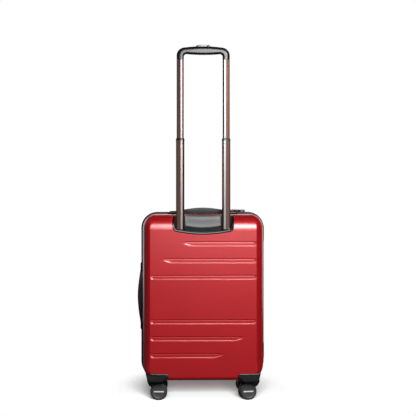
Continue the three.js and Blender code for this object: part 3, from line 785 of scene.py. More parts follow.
PANEL_Y = -90.6
PANEL_ROWS = [(0.6, -90.0), (0.0, -90.7), (0.4, -91.2), (1.4, -91.6), (2.6, -91.6), (5.0, -91.1),
              (8.0, -90.5), (12, -90.1), (20, -89.8), (30, -89.7), (38, -89.7)]
columns = np.concatenate([np.linspace(-84, -52, 9), np.linspace(-50, 50, 41), np.linspace(52, 84, 9)])
rows = []
for up, y in PANEL_ROWS:
    row = []
    for x in columns:
        fade = smooth((53 - abs(x)) / 4)
        z = min(float(panel_edge(x)) + up, 540.3 - 3 * smooth((abs(x) - 62) / 10))
        row.append((x, PANEL_Y + (y - PANEL_Y) * fade + 4.0 * smooth((z - 534.5) / 5.8), z))
    rows.append(row)
rows.append([(x, -84.2, z + 0.5) for x, _, z in rows[-1]])
# The panel's grey colour is a painted reflection of the key light on the black housing plastic.
piece("housing_panel", grid(rows), PANEL_PAINTED_REFLECTION, "case", angle=80)
under = [[(x, -89.2, float(floor_curve(x)) - 1.5) for x in columns],
         [(x, -89.2, float(panel_edge(x)) + 0.8) for x in columns]]
piece("housing_hollow", grid(under), GLOSS, "case")
for side, word in ((-1, "left"), (1, "right")):
    rows = [[(side * x, -91.6, float(panel_edge(x)) - 0.5) for x in np.linspace(52, 84, 9)],
            [(side * x, -91.6, 537.4) for x in np.linspace(52, 84, 9)]]
    piece(f"housing_well_{word}", grid(rows), GLOSS, "case")


# ---------- Trolley tubes ----------
def tube_outline(width, depth, side):
    """The tube's section, a flat ridge on its front nearer the middle. side is -1 left, 1 right."""
    points = [(-0.5, 0.38), (-0.5, -0.12), (-0.42, -0.28), (0.03, -0.5), (0.30, -0.5), (0.5, -0.22),
              (0.5, 0.38), (0.42, 0.5), (-0.42, 0.5)]
    scaled = [(x * width, y * depth) for x, y in points]
    if side > 0:
        scaled = [(-x, y) for x, y in scaled][::-1]
    return rounded_poly(scaled, [2, 2.5, 2.5, 0.5, 0.5, 2.0, 2, 2, 2][:: (1 if side < 0 else -1)], 5)


def tube_node_frame(node_name):
    low, high = box_mm(node_name)
    return (low[0] + high[0]) / 2 - CX, (low[1] + high[1]) / 2, low, high


def placed(outline, x, y):
    return outline + np.array([x, y])


TUBE_WALL = 1.2
RIVET_PROFILE = [(0.01, 0.35), (1.0, 0.3), (1.15, 0.0), (1.5, -0.12), (1.9, -0.05), (1.9, 0.8), (0.01, 0.8)]
# Each tube's rivets: how far they lie from its middle, and their heights.
RIVETS = {"inner_tube": (4.3, (985, 974.6)), "middle_tube": (-8.0, (748, 736))}


def rivet_heads(outer, y, x, heights):
    """Rivet heads on a tube's front, sheared to the slope of its surface at x."""
    section = outer[outer[:, 1] < y]
    order = np.argsort(section[:, 0])
    behind, surface, ahead = np.interp([x - 1, x, x + 1], section[order, 0], section[order, 1])
    heads = Parts()
    for z in heights:
        verts, faces = turned(RIVET_PROFILE, 20)
        verts[:, 1] += (ahead - behind) / 2 * verts[:, 0]
        heads.add(verts + np.array([x, surface, z]), faces)
    return heads


def ridge_strip(x, y, side, width, depth, low_z, high_z):
    """The bright strip along a tube's ridge."""
    section = [(x - side * width * f, y - depth * 0.5 + rise) for f, rise in
               ((0.065, 0.3), (0.07, -0.06), (0.27, -0.06), (0.275, 0.3))]
    section = section if side < 0 else section[::-1]
    return loft([[(*p, z) for p in section] for z in (low_z + 0.2, high_z - 0.3)])


def trolley_side(side, word):
    """The tubes, collar, seal and push rod on one side."""
    for kind, body, mat in (("fixed_tube", "case", STEEL), ("middle_tube", "lower_stage", BRONZE),
                            ("inner_tube", "upper_stage", BRONZE)):
        x, y, low, high = tube_node_frame(f"{kind}_{word}")
        width, depth = high[0] - low[0], high[1] - low[1]
        outer = placed(tube_outline(width, depth, side), x, y)
        inner = placed(tube_outline(width - 2 * TUBE_WALL, depth - 2 * TUBE_WALL, side), x, y)
        piece(f"{kind}_profile_{word}", tube(outer, inner, low[2], high[2]), mat, body, f"{kind}_{word}",
              angle=30)
        if kind not in RIVETS:
            continue
        strip = ridge_strip(x, y, side, width, depth, low[2], high[2])
        piece(f"{kind}_ridge_{word}", strip, SILVER, body, angle=30)
        toward, heights = RIVETS[kind]
        heads = rivet_heads(outer, y, x + side * toward, heights)
        piece(f"{kind}_rivets_{word}", heads, GLOSS, body, slot="black_satin")
    x, y, low, high = tube_node_frame(f"collar_{word}")
    width, depth = high[0] - low[0], high[1] - low[1]
    bore = placed(tube_outline(21.3, 12.2, side), x, y)
    rings = []
    for w, z in ((width, low[2]), (width, low[2] + 1.2), (width - 0.6, low[2] + 2.0), (23.0, high[2] - 1.0),
                 (22.4, high[2] - 0.3), (21.9, high[2])):
        rings.append([(*p, z) for p in placed(tube_outline(w, depth * w / width, side), x, y)])
    rings.append([(*p, high[2]) for p in bore])
    rings.append([(*p, low[2]) for p in bore])
    piece(f"collar_ring_{word}", grid(rings, close_u=True, close_v=True), SATIN, "lower_stage",
          f"collar_{word}", angle=35)
    mx, my, *_ = tube_node_frame(f"middle_tube_{word}")
    outer = placed(tube_outline(28.5, 19, side), mx, my)
    hole = placed(tube_outline(25.3, 15.8, side), mx, my)
    piece(f"tube_seal_{word}", tube(outer, hole, 489, 499.2), GLOSS, "case", angle=35)
    low, high = box_mm(f"push_rod_{word}")
    outline = rounded_poly([(low[0] - CX, low[1]), (high[0] - CX, low[1]), (high[0] - CX, high[1]),
                            (low[0] - CX, high[1])], 1.2, 4)
    piece(f"push_rod_bar_{word}", prism(outline, "z", low[2], high[2], 0.4, 0.4, 2), STEEL, "button",
          f"push_rod_{word}")


trolley_side(-1, "left")
trolley_side(1, "right")


# ---------- Grip ----------
grip_low, grip_high = box_mm("grip_back_half")
GRIP_X = grip_high[0] - CX
GRIP_TOP = grip_high[2]
LEG_BOTTOM = 993.6
GRIP_MID_Y = -100.5


def grip_outline():
    """A U with an arched top, wide shoulders, and an underside that bulges down in the middle."""
    outer = []
    for t in np.linspace(0, 1, 15):
        a = math.pi / 2 * t
        outer.append((-GRIP_X + 25 * (1 - math.cos(a)), GRIP_TOP - 3.4 - 24 + 24 * math.sin(a)))
    for x in np.linspace(-GRIP_X + 25, 0, 12)[1:]:
        outer.append((x, GRIP_TOP - 3.4 * (x / (GRIP_X - 25)) ** 2))
    outer = outer + [(-x, z) for x, z in outer[-2::-1]]
    leg_in = GRIP_X - 21.2
    under = []
    for t in np.linspace(0, 1, 9):
        a = math.pi / 2 * t
        under.append((leg_in - 8 * (1 - math.cos(a)), 1001 + 8 * math.sin(a)))
    for x in np.linspace(leg_in - 8, 0, 10)[1:]:
        under.append((x, 1009 - 2.2 * (1 - (x / (leg_in - 8)) ** 2)))
    under = under + [(-x, z) for x, z in under[-2::-1]]
    low = LEG_BOTTOM - 14
    points = [(-GRIP_X, low)] + outer + [(GRIP_X, low), (leg_in, low)] + under + [(-leg_in, low)]
    return spaced(np.array(points[::-1], float), 4)


def clipped(obj, height):
    """Cuts a mesh off flat below a height."""
    made = bmesh.new()
    made.from_mesh(obj.data)
    cut = bmesh.ops.bisect_plane(made, geom=made.verts[:] + made.edges[:] + made.faces[:], dist=1e-6,
                                 plane_co=(0, 0, height / 1000), plane_no=(0, 0, -1), clear_outer=True)
    edges = [e for e in cut["geom_cut"] if isinstance(e, bmesh.types.BMEdge)]
    bmesh.ops.holes_fill(made, edges=edges, sides=0)
    made.to_mesh(obj.data)
    made.free()


outline = grip_outline()
UNDER = (np.abs(outline[:, 0]) <= GRIP_X - 21.1) & (outline[:, 1] < 1010)
share = np.where(UNDER, 0.95, 1.62)
for _ in range(3):
    share = (np.roll(share, 1) + share * 2 + np.roll(share, -1)) / 4
for side, word in ((-1, "back"), (1, "front")):
    near, far = GRIP_MID_Y + side * 8.5, GRIP_MID_Y + side * 0.15
    rim = (7.0, 0.35) if side < 0 else (0.35, 7.0)
    half = piece(f"grip_{word}",
                 prism(outline, "y", min(near, far), max(near, far), *rim, steps=8, share=share), GRIP,
                 "upper_stage", f"grip_{word}_half", angle=50)
    clipped(half, LEG_BOTTOM)

shoulders = Parts()
for side in (-1, 1):
    rings = []
    for x, top, half in ((11.5, 1034.6, 4.2), (13, 1035.4, 4.8), (15.5, 1035.5, 5.0), (18, 1034.6, 4.8),
                         (20, 1032.8, 4.2), (21.5, 1030.5, 3.6)):
        section = rounded_box_outline(GRIP_MID_Y - half, GRIP_MID_Y + half, 1029, top, 0.4, min(1.6, half), 4)
        rings.append([(side * x, p[0], p[1]) for p in section])
    shoulders.add(*loft(rings))
piece("grip_button_shoulders", shoulders, GRIP, "upper_stage", angle=40)
button = rounded_box_outline(-11, 11, GRIP_MID_Y - 4.3, GRIP_MID_Y + 4.3, 2.2, None, 5)
verts, faces = prism(button, "z", 1024, 1036, 0.3, 1.6)
cap_low, cap_high = box_mm("release_button")
bar = rounded_box_outline(cap_low[0] - CX, cap_high[0] - CX, GRIP_MID_Y - 2.4, GRIP_MID_Y + 2.4, 0.8, None, 3)
push = Parts().add(verts, faces).add(*prism(bar, "z", 1014.2, 1019, 0.3, 0.3, 2))
piece("release_button_cap", push, BUTTON, "button", "release_button", angle=40)


# ---------- Casters ----------
def caster_frame(name):
    """The swivel axis, the wheel's centre and the trail's direction, from the frame's joints."""
    joints = {j["name"]: j for j in frame["joints"]}
    swivel = np.array(joints[f"swivel_{name}"]["pos_m"]) * 1000
    spin = np.array(joints[f"wheel_spin_{name}"]["pos_m"]) * 1000
    trail = spin[:2] - swivel[:2]
    return swivel, spin, trail / np.linalg.norm(trail)


WHEEL_TRAIL, WHEEL_RADIUS = 10, 25
ARCH_RADIUS = 26.3


def fork_outline():
    """The fork from the side: a cowl whose arch follows the wheel."""
    arch = []
    for degrees in np.linspace(141, 72, 18):
        a = math.radians(degrees)
        arch.append((WHEEL_TRAIL + ARCH_RADIUS * math.cos(a), WHEEL_RADIUS + ARCH_RADIUS * math.sin(a)))
    points = [(-20.3, 54.4), (-18.6, 49), (-14.6, 43.0)] + arch + [(20.5, 54.4)]
    return np.array(points, float)


def wheel_disc():
    """One disc: a tread with rounded shoulders, a groove, and a dished cap with a raised rim."""
    tread = [(3.1, 3.6), (20, 3.6), (23.2, 3.6), (24.4, 4.2), (25, 5.6), (25, 12.6), (24.5, 14.2),
             (23.4, 15.0), (22.3, 15.1), (21.9, 14.6), (21.4, 14.5), (21.4, 12), (3.1, 12)]
    cap = [(3.1, 12.2), (21.1, 12.2), (21.1, 14.6), (20.6, 15.3), (19.6, 15.5), (18.8, 15.3), (18.2, 14.8),
           (17.4, 14.6), (3.1, 14.6)]
    return tread, cap


def bar_across(length, height, low, high, rim):
    outline = rounded_box_outline(-length / 2, length / 2, -height / 2, height / 2, height * 0.45, None, 5)
    return prism(outline, "y", low, high, rim, rim, 3)


def caster(name):
    """A fork with its axle and two wheel discs, and the corner guard above it."""
    swivel, spin, trail = caster_frame(name)
    parent = "case" if name.startswith("back") else "lid"
    side = -1 if name.endswith("left") else 1
    face = -1 if name.startswith("back") else 1
    across = np.array([-trail[1], trail[0]])

    def to_caster(p, origin=swivel):
        return np.array([*(origin[:2] + trail * p[0] + across * p[1]), p[2]])

    outline = fork_outline()[::-1]
    fork = Parts().add(*prism(outline, "y", -15.4, 15.4, 2.2, 2.2, 4))
    plate = rounded_poly([(-9, 50.8), (4, 22), (16, 22), (17, 50.8)], [1, 5, 5, 1], 6)[::-1]
    fork.add(*prism(plate[::-1], "y", -2.9, 2.9, 0.8, 0.8, 3))
    boss = turned([(3.15, -3.2), (6.4, -3.2), (6.4, 3.2), (3.15, 3.2)], 32)
    fork.add(*shifted(boss, [WHEEL_TRAIL, 0, WHEEL_RADIUS]))
    stem = [(0.01, 50), (4, 50), (4, 61), (3.5, 61.5), (0.01, 61.5)]
    fork.add(*turned(stem, 32, "z"))
    for s in (-1, 1):
        v, f = turned([(0.01, 0), (1.9, 0), (2.3, -0.4), (2.3, -0.9), (0.01, -0.9)], 20)
        v = np.array(v) * np.array([1, -s, 1]) + np.array([-16.6, s * 15.4, 48.5])
        fork.add(v, f)
    fork.moved(to_caster)
    piece(f"fork_{name}", fork, SATIN, f"fork_{name}", f"caster_fork_{name}", shift=False, angle=40)
    tread, cap = wheel_disc()
    for s, word in ((1, "outer"), (-1, "inner")):
        parts = {"tyre": Parts().add(*turned(tread, 72)), "cap": Parts().add(*turned(cap, 72))}
        parts["cap"].add(*bar_across(36, 8.4, 14.4, 15.2, 0.4))
        parts["inlay"] = Parts().add(*bar_across(30, 3.6, 14.9, 15.45, 0.25))
        for key, mat in (("tyre", TYRE), ("cap", CAP), ("inlay", INLAY)):
            def to_wheel(p, s=s):
                flat = spin[:2] + trail * p[0] * s + across * p[1] * s
                return np.array([*flat, spin[2] + p[2]])
            parts[key].moved(to_wheel)
            stands = f"wheel_{word}_{name}" if key == "tyre" else None
            piece(f"wheel_{key}_{word}_{name}", parts[key], mat, f"wheel_{name}", stands, shift=False,
                  angle=35)
    pin = turned([(0.01, -14), (2.3, -14), (2.8, -13.4), (2.8, 13.4), (2.3, 14), (0.01, 14)], 32)
    axle = Parts().add(*pin)
    axle.moved(lambda p: np.array([*(spin[:2] + trail * p[0] + across * p[1]), spin[2] + p[2]]))
    piece(f"axle_pin_{name}", axle, STEEL, f"wheel_{name}", f"axle_{name}", shift=False)

    guard = rounded_poly([(-167.6, 82.8), (-165.4, 72), (-162.6, 61), (-159.6, 54.9), (-118, 54.9),
                          (-108, 64.6), (-99.2, 65.6), (-98.6, 72), (-104, 80.2), (-150, 80.6)],
                         [1.5, 8, 8, 3, 5, 5, 3, 4, 8, 30], 5)
    rows = guard if side < 0 else (guard * np.array([-1, 1]))[::-1]
    lo_y, hi_y = (-FACE - 1.6, -38) if face < 0 else (38, FACE + 1.6)
    body_parts = Parts().add(*prism(rows, "y", lo_y, hi_y, 3.2, 3.2, 5))
    seat = turned([(4.3, 54.6), (19, 54.6), (20, 55.4), (20, 58), (4.3, 58)], 48, "z")
    body_parts.add(*shifted(seat, [swivel[0] - CX, swivel[1], 0]))
    piece(f"guard_{name}", body_parts, SATIN, parent, f"corner_guard_{name}", angle=40)


for caster_name in ("back_left", "back_right", "front_left", "front_right"):
    caster(caster_name)


# ---------- Carry handles and feet ----------
def handle_strap(rise, foot):
    """The arched strap over a surface at height 0, thicker in the middle, with deep lips along its sides."""
    rings = []
    for x in np.concatenate([np.linspace(-93, -60, 12), np.linspace(-56, 56, 29), np.linspace(60, 93, 12)]):
        a = abs(x)
        t = math.cos(math.pi / 2 * a / 93) ** 1.15 if a < 92.9 else 0
        middle = smooth((72 - a) / 34)
        top = foot + (rise - foot) * t + 0.8 * t * t
        thick = 3.4 + 1.4 * middle
        lip = 0.3 + (top - thick - 1.6) * smooth((76 - a) / 14)
        width = 8.6 + 2.4 * middle
        rib = 0.35 * (0.5 + 0.5 * math.cos(2 * math.pi * x / 7.0)) * smooth((46 - a) / 8)
        low = top - thick
        points = [(-width, low - lip), (-width + 1.8, low - lip), (-width + 3.4, low - 0.01),
                  (width - 3.4, low - 0.01), (width - 1.8, low - lip), (width, low - lip),
                  (width, top - rib), (-width, top - rib)]
        section = rounded_poly(points, [0.6, 0.6, 1.2, 1.2, 0.6, 0.6, 1.5, 1.5], 4, even=True)
        rings.append([(x, p[0], p[1]) for p in section])
    return loft(rings)


def handle_cap(sign, tall):
    """An end cap, with the raised rim of the strap's slot. tall scales its height."""
    side_view = rounded_poly([(-103, 0.3), (-74, 0.3), (-74, 6.6 * tall), (-78, 10.2 * tall),
                              (-90, 10.4 * tall), (-99, 8.4 * tall), (-103, 4 * tall)],
                             [0.5, 0.5, 2, 3, 6, 4, 2], 5)
    rows = []
    for y, shrink in ((-13, 3.2), (-12.6, 1.9), (-11.6, 0.8), (-10, 0.0), (-5, -0.3), (0, -0.35), (5, -0.3),
                      (10, 0.0), (11.6, 0.8), (12.6, 1.9), (13, 3.2)):
        view = inset(side_view, shrink)
        view[:, 1] = np.maximum(view[:, 1], 0.3)
        rows.append([(p[0] * -sign, y, p[1]) for p in view])
    parts = Parts().add(*loft(rows))
    lip = rounded_box_outline(-96.5, -77.5, -9.8, 9.8, 3, None, 5)
    rim, rim_faces = prism(lip, "z", 9.6 * tall, 10.9 * tall, 0.3, 0.5, 3)
    parts.add([(p[0] * -sign, p[1], p[2]) for p in rim], rim_faces)
    return parts


top_strap_y = -42.0
side_low, side_high = box_mm("side_handle_strap")
side_z = (side_low[2] + side_high[2]) / 2


def on_top(p):
    return np.array([p[0], p[1] + top_strap_y, p[2] + TOP])


def on_side(p):
    return np.array([-p[2] - HALF_W, p[1] + top_strap_y, p[0] + side_z])


for where, body, rise, tall, names, place in (
        ("top", "top_strap", 18.6, 0.85, ("left", "right"), on_top),
        ("side", "side_strap", 15.4, 0.72, ("lower", "upper"), on_side)):
    strap = Parts().add(*handle_strap(rise, 8.2 * tall)).moved(place)
    piece(f"handle_{where}_grip", strap, STRAP, body, f"{where}_handle_strap", angle=45)
    for sign, word in ((1, names[0]), (-1, names[1])):
        cap = handle_cap(-sign, tall).moved(place)
        piece(f"handle_{where}_end_{word}", cap, STRAP, "case", f"{where}_handle_cap_{word}", angle=45)

for word in ("upper", "lower"):
    low, high = box_mm(f"side_foot_{word}")
    outline = rounded_box_outline(low[1], high[1], low[2], high[2], 8.5, None, 8)
    foot = Parts().add(*prism(outline, "x", low[0] - CX - 0.4, high[0] - CX, 0, 3.0, 6))
    for k in (-1, 0, 1):
        rib_y, rib_z = (low[1] + high[1]) / 2, (low[2] + high[2]) / 2 + 11 * k
        rib = rounded_box_outline(rib_y - 4.5, rib_y + 4.5, rib_z - 1.2, rib_z + 1.2, 1.1, None, 4)
        foot.add(*prism(rib, "x", high[0] - CX - 0.8, high[0] - CX + 0.25, 0.1, 0.2, 2))
    piece(f"foot_{word}", foot, SATIN, "lid", f"side_foot_{word}", angle=40)


# ---------- Lock and zip pulls ----------
low, high = box_mm("lock_body")
outline = rounded_box_outline(low[0] - CX, high[0] - CX, low[1], high[1], 6, None, 8)
lock = piece("lock_case", prism(outline, "z", low[2], high[2], 0.4, 2.0, 5), SATIN, "lid", "lock_body",
             angle=40)


def cutter(name, form):
    return mesh_object(name, form, clean=False)


def carve(obj, tools):
    """Cuts the tools out of a piece and removes them."""
    for tool in tools:
        modifier = obj.modifiers.new("cut", "BOOLEAN")
        modifier.operation = "DIFFERENCE"
        modifier.object = tool
        modifier.solver = "EXACT"
    apply_modifiers(obj)
    for tool in tools:
        bpy.data.objects.remove(tool)


tools = []
for i in (1, 2, 3):
    dlow, dhigh = box_mm(f"number_dial_{i}")
    centre, radius = (dlow + dhigh) / 2 - np.array([CX, 0, 0]), (dhigh[2] - dlow[2]) / 2
    half = (dhigh[0] - dlow[0]) / 2
    reach = half + 0.3
    hole = turned([(0.01, -reach), (radius + 0.4, -reach), (radius + 0.4, reach), (0.01, reach)], 40, "x")
    tools.append(cutter(f"cut_dial_{i}", shifted(hole, centre)))
    ring = []
    ridges = 10
    for w, r in ((-half, 0.7), (-half + 0.5, 0.15), (-half + 0.9, 0), (half - 0.9, 0), (half - 0.5, 0.15),
                 (half, 0.7)):
        row = []
        for k in range(ridges * 8):
            a = 2 * math.pi * k / (ridges * 8)
            notch = 0.28 * max(0.0, math.cos(a * ridges)) ** 4
            rr = radius - r - notch
            row.append((w, rr * math.cos(a), rr * math.sin(a)))
        ring.append(row)
    piece(f"dial_{i}", shifted(loft(ring), centre), DIAL, f"dial_{i}", f"number_dial_{i}", angle=40)
slow, shigh = box_mm("lock_slider")
pocket = rounded_box_outline(slow[0] - CX - 0.4, shigh[0] - CX + 3.4, slow[1] - 0.4, shigh[1] + 0.4,
                             1.4, None, 4)
tools.append(cutter("cut_slider", prism(pocket, "z", slow[2] - 0.3, 570)))
for word in ("left", "right"):
    plow, phigh = box_mm(f"zip_pull_{word}")
    px = (plow[0] + phigh[0]) / 2 - CX
    slot_outline = rounded_box_outline(px - 4.2, px + 4.2, 5, phigh[1] + 0.8, 2.6, None, 5)
    tools.append(cutter(f"cut_slot_{word}", prism(slot_outline, "z", plow[2] - 0.9, 570)))
carve(lock, tools)
outline = rounded_box_outline(slow[0] - CX, shigh[0] - CX, slow[1], shigh[1], 1.2, None, 4)
knob = Parts().add(*prism(outline, "z", slow[2], shigh[2] - 0.4, 0.2, 0.6, 4))
for k in (-1, 0, 1):
    mid = (slow[0] + shigh[0]) / 2 - CX + 1.7 * k
    rib = rounded_box_outline(mid - 0.4, mid + 0.4, slow[1] + 1.2, shigh[1] - 1.2, 0.35, None, 3)
    knob.add(*prism(rib, "z", shigh[2] - 1.0, shigh[2], 0.1, 0.25, 2))
piece("lock_slide_knob", knob, BUTTON, "lock_button", "lock_slider", angle=40)

for word in ("left", "right"):
    plow, phigh = box_mm(f"zip_pull_{word}")
    px = (plow[0] + phigh[0]) / 2 - CX
    joint = next(j for j in frame["joints"] if j["name"] == f"zip_pull_{word}_flip")
    pin_y, pin_z = joint["pos_m"][1] * 1000, joint["pos_m"][2] * 1000
    base = TOP + PROUD
    plan = rounded_poly([(px - 4.6, -4.4), (px - 3.2, 3.4), (px + 3.2, 3.4), (px + 4.6, -4.4)], 1.6, 5)[::-1]
    slider = Parts().add(*prism(plan, "z", base + 0.3, base + 3.6, 0.4, 1.1, 4))
    for s in (-1, 1):
        arm = rounded_poly([(1.0, base + 1.2), (pin_y + 1.5, base + 2.6), (pin_y + 1.5, pin_z + 1.3),
                            (0.2, pin_z + 0.6)], [0.5, 1.2, 1.4, 1.2], 5)
        slider.add(*prism(arm, "x", px + s * 3.3 - 0.6, px + s * 3.3 + 0.6, 0.2, 0.2, 2))
    pin = turned([(0.01, -3.6), (0.85, -3.6), (0.85, 3.6), (0.01, 3.6)], 16, "x")
    slider.add(*shifted(pin, [px, pin_y, pin_z]))
    piece(f"slider_{word}", slider, NICKEL, "lid", f"zip_slider_{word}", angle=40)
    tab = rounded_poly([(px - 2.2, pin_y - 1.5), (px + 2.2, pin_y - 1.5), (px + 2.4, pin_y + 4),
                        (px + 3.5, pin_y + 8), (px + 3.4, phigh[1]), (px - 3.4, phigh[1]),
                        (px - 3.5, pin_y + 8), (px - 2.4, pin_y + 4)], [0.8, 0.8, 2, 3, 2.6, 2.6, 3, 2], 5)
    pull = piece(f"pull_{word}", prism(tab, "z", pin_z - 1.15, pin_z + 1.15, 0.5, 0.5, 4), NICKEL,
                 f"pull_{word}", f"zip_pull_{word}", angle=40)
    eye = turned([(0.01, -9), (1.15, -9), (1.15, 9), (0.01, 9)], 20, "x")
    carve(pull, [cutter("cut_eye", shifted(eye, [px, pin_y, pin_z]))])


# ---------- Lining and hinge strip ----------
def lining_mesh(side, hump):
    """The cloth inside a shell, with slow ripples. hump raises it over the trolley housing."""
    x, z, distance = case_grid(5.5, 6.5, 5.4, 6, dense_grooves=False)
    drop = case_drop(distance, z, 5.4)
    depth = FACE - 5.4
    y = -depth + drop
    ripple = 0.5 * np.sin(x / 17 + 1.3 * np.sin(z / 31)) * np.sin(z / 23 + 0.8 * np.sin(x / 29))
    flat = smooth((distance - 16) / 20)
    if hump:
        cover = smooth((92 - np.abs(x)) / 5) * smooth((z - 76) / 5)
        y = np.where(cover > 0, np.maximum(y, -depth + (depth - 87.4) * cover), y)
    y = y + ripple * flat
    steps = [(t, -0.4 * math.sin(math.pi * t)) for t in (0.2, 0.4, 0.6, 0.8, 0.95, 1.0)]
    verts, faces = with_walls(np.stack([x, y, z], 2), 300, -16.5, steps)
    return verts * np.array([1, -side, 1]), faces


for side, half, body in ((-1, "back", "case"), (1, "front", "lid")):
    cloth = piece(f"lining_{half}_cloth", lining_mesh(side, half == "back"), LINING, body, f"{half}_lining",
                  angle=80)
    outward_check(cloth, (CX / 1000, 0, 0.3))
    thicken(cloth, 0.0009)
    base = band_outline(-5.6)
    binding = []
    for k in range(10):
        a = 2 * math.pi * k / 10
        y = side * (16.2 + 1.3 * math.sin(a))
        binding.append([(p[0], y, p[1]) for p in inset(base, 1.3 * math.cos(a))])
    piece(f"lining_{half}_binding", grid(binding, close_u=True, close_v=True), TAPE, body)

low, high = box_mm("hinge_strip")
strip_x = (low[0] + high[0]) / 2 - CX
rows = []
for y in np.linspace(-12.5, 12.5, 21):
    rows.append([(strip_x - 0.3 * math.cos(z / 9.0) * (1 - (y / 12.5) ** 2), y, z)
                 for z in np.linspace(low[2], high[2], 60)])
piece("hinge_cloth", grid(rows), TAPE,
      ("case", "lid", (strip_x / 1000, -0.0115, 0.3), (strip_x / 1000, 0.0115, 0.3)), "hinge_strip",
      angle=80)


# ---------- Stage, lights, camera ----------
def emission(name, strength):
    made = bpy.data.materials.new(name)
    made.use_nodes = True
    tree = made.node_tree
    tree.nodes.clear()
    glow = node(tree, "ShaderNodeEmission", Strength=strength)
    out = tree.nodes.new("ShaderNodeOutputMaterial")
    tree.links.new(glow.outputs[0], out.inputs[0])
    return made


def only_seen_by_camera(obj):
    obj.visible_diffuse = obj.visible_glossy = obj.visible_shadow = obj.visible_transmission = False
    obj.visible_volume_scatter = False


world = bpy.data.worlds.new("studio")
bpy.context.scene.world = world
world.use_nodes = True
world.node_tree.nodes["Background"].inputs["Color"].default_value = (1, 1, 1, 1)
world.node_tree.nodes["Background"].inputs["Strength"].default_value = 0.045

bpy.ops.mesh.primitive_ico_sphere_add(subdivisions=4, radius=14, location=(0, 0, 0))
dome = bpy.context.object
dome.name = "backdrop"
dome.data.materials.append(emission("backdrop_white", 1.0))
only_seen_by_camera(dome)

bpy.ops.mesh.primitive_circle_add(vertices=96, radius=1.9, fill_type="TRIFAN", location=(0, 0, 0))
ground = bpy.context.object
ground.name = "floor"
floor_mat = bpy.data.materials.new("pale_floor")
floor_mat.use_nodes = True
tree = floor_mat.node_tree
shader = tree.nodes["Principled BSDF"]
shader.inputs["Base Color"].default_value = (0.9, 0.9, 0.9, 1)
shader.inputs["Roughness"].default_value = 0.55
shader.inputs["Specular IOR Level"].default_value = 0.0
place = tree.nodes.new("ShaderNodeTexCoord")
length = node(tree, "ShaderNodeVectorMath", operation="LENGTH")
squeeze = node(tree, "ShaderNodeMapping", Scale=(1 / 0.26, 1 / 0.62, 1))
tree.links.new(place.outputs["Object"], squeeze.inputs["Vector"])
tree.links.new(squeeze.outputs["Vector"], length.inputs[0])
fade = node(tree, "ShaderNodeMapRange", interpolation_type="SMOOTHSTEP")
fade.inputs["From Min"].default_value = 0.66
fade.inputs["From Max"].default_value = 1.2
tree.links.new(length.outputs["Value"], fade.inputs["Value"])
clear = tree.nodes.new("ShaderNodeBsdfTransparent")
blend = tree.nodes.new("ShaderNodeMixShader")
out = tree.nodes["Material Output"]
tree.links.new(fade.outputs["Result"], blend.inputs[0])
tree.links.new(shader.outputs[0], blend.inputs[1])
tree.links.new(clear.outputs[0], blend.inputs[2])
tree.links.new(blend.outputs[0], out.inputs[0])
ground.data.materials.append(floor_mat)
ground.visible_diffuse = ground.visible_glossy = False
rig.stage(dome, ground)


def aimed(name, azimuth, elevation, distance, focus, size, radiance):
    """A softbox placed by its bearing from a focus point, as bright as its radiance says."""
    a, e = math.radians(azimuth), math.radians(elevation)
    toward = Vector((math.sin(a) * math.cos(e), -math.cos(a) * math.cos(e), math.sin(e)))
    at = Vector(focus) + distance * toward
    data = bpy.data.lights.new(name, "AREA")
    data.shape = "RECTANGLE"
    data.size, data.size_y = size
    data.energy = radiance * math.pi * size[0] * size[1]
    lamp = bpy.data.objects.new(name, data)
    bpy.context.scene.collection.objects.link(lamp)
    lamp.location = at
    lamp.rotation_euler = (Vector(focus) - at).to_track_quat("-Z", "Y").to_euler()
    lamp.visible_camera = False
    return lamp


def group(name, objects):
    made = bpy.data.collections.new(name)
    for obj in objects:
        made.objects.link(obj)
    return made


FOCUS = (0, 0, 0.5)
meshes = [obj for obj in bpy.context.scene.objects if obj.type == "MESH" and obj not in (dome, ground)]
floor_group = group("floor_group", [ground])
object_group = group("object_group", meshes)
tube_group = group("tube_group", [obj for obj in meshes if "tube" in obj.name])
case_group = group("case_group", [obj for obj in meshes if "tube" not in obj.name])


def floor_only(lamp):
    """Limits a lamp to the floor, while the case still shades it."""
    lamp.light_linking.receiver_collection = floor_group


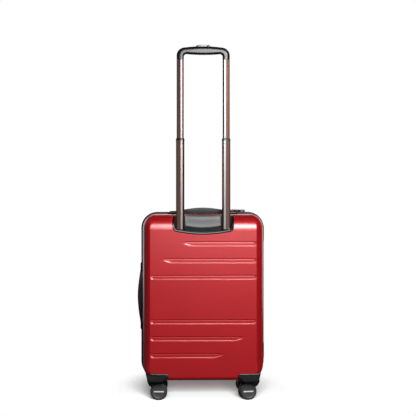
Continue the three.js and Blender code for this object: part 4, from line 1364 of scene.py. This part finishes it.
def only_reflected(lamp, receivers=None):
    """Limits a lamp to reflections, on everything or on one group of pieces."""
    lamp.visible_diffuse = False
    lamp.light_linking.receiver_collection = receivers


def not_reflected(lamp):
    """Limits a lamp to the diffuse light on the pieces, off the floor."""
    lamp.visible_glossy = False
    lamp.light_linking.receiver_collection = object_group


only_reflected(aimed("key_reflection", 13, 24, 1.9, FOCUS, (1.03, 0.86), 22), case_group)
only_reflected(aimed("tube_reflection", 13, 24, 1.9, FOCUS, (1.03, 0.86), 3.2), tube_group)
not_reflected(aimed("key", 9, 14, 1.5, FOCUS, (0.9, 0.75), 10.4))
only_reflected(aimed("low_strip", 1.5, 6, 2.6, FOCUS, (0.5, 0.5), 1.5))
only_reflected(aimed("side_left", -33, 5, 2.6, FOCUS, (0.9, 1.8), 0.3))
only_reflected(aimed("side_right", 34, 5, 2.6, FOCUS, (0.9, 1.8), 0.5))
only_reflected(aimed("behind", 180, 15, 3.0, FOCUS, (2.4, 2.6), 1.5))
only_reflected(aimed("behind_left", -143, 8, 3.0, FOCUS, (1.6, 1.8), 1.2))
only_reflected(aimed("behind_right", 143, 8, 3.0, FOCUS, (1.6, 1.8), 1.2))
floor_only(aimed("floor_key", 2, 13, 2.6, (0, 0, 0.05), (0.9, 0.56), 185))
floor_only(aimed("floor_fill", 0, 89, 3.0, FOCUS, (3, 3), 0.75))
not_reflected(aimed("back_key", 196, 18, 2.2, FOCUS, (1.0, 1.0), 7))

scene = bpy.context.scene
scene.view_settings.view_transform = "Standard"
scene.view_settings.look = "None"
camera_data = bpy.data.cameras.new("camera")
camera = bpy.data.objects.new("camera", camera_data)
scene.collection.objects.link(camera)
camera_data.sensor_width = 36
camera_data.lens = 107.4
camera_data.clip_end = 60
CAMERA_AT = Vector((CX / 1000 - 0.0754, -3.715, 0.561))
CAMERA_TURN = 1.417
camera.location = CAMERA_AT
camera.rotation_euler = (math.radians(90), 0, math.radians(-CAMERA_TURN))
scene.camera = camera

with open("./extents.json", "w") as out_file:
    json.dump({"cad": [list(v) for v in cad_box], "visual": [list(v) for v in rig.bounds()]}, out_file)
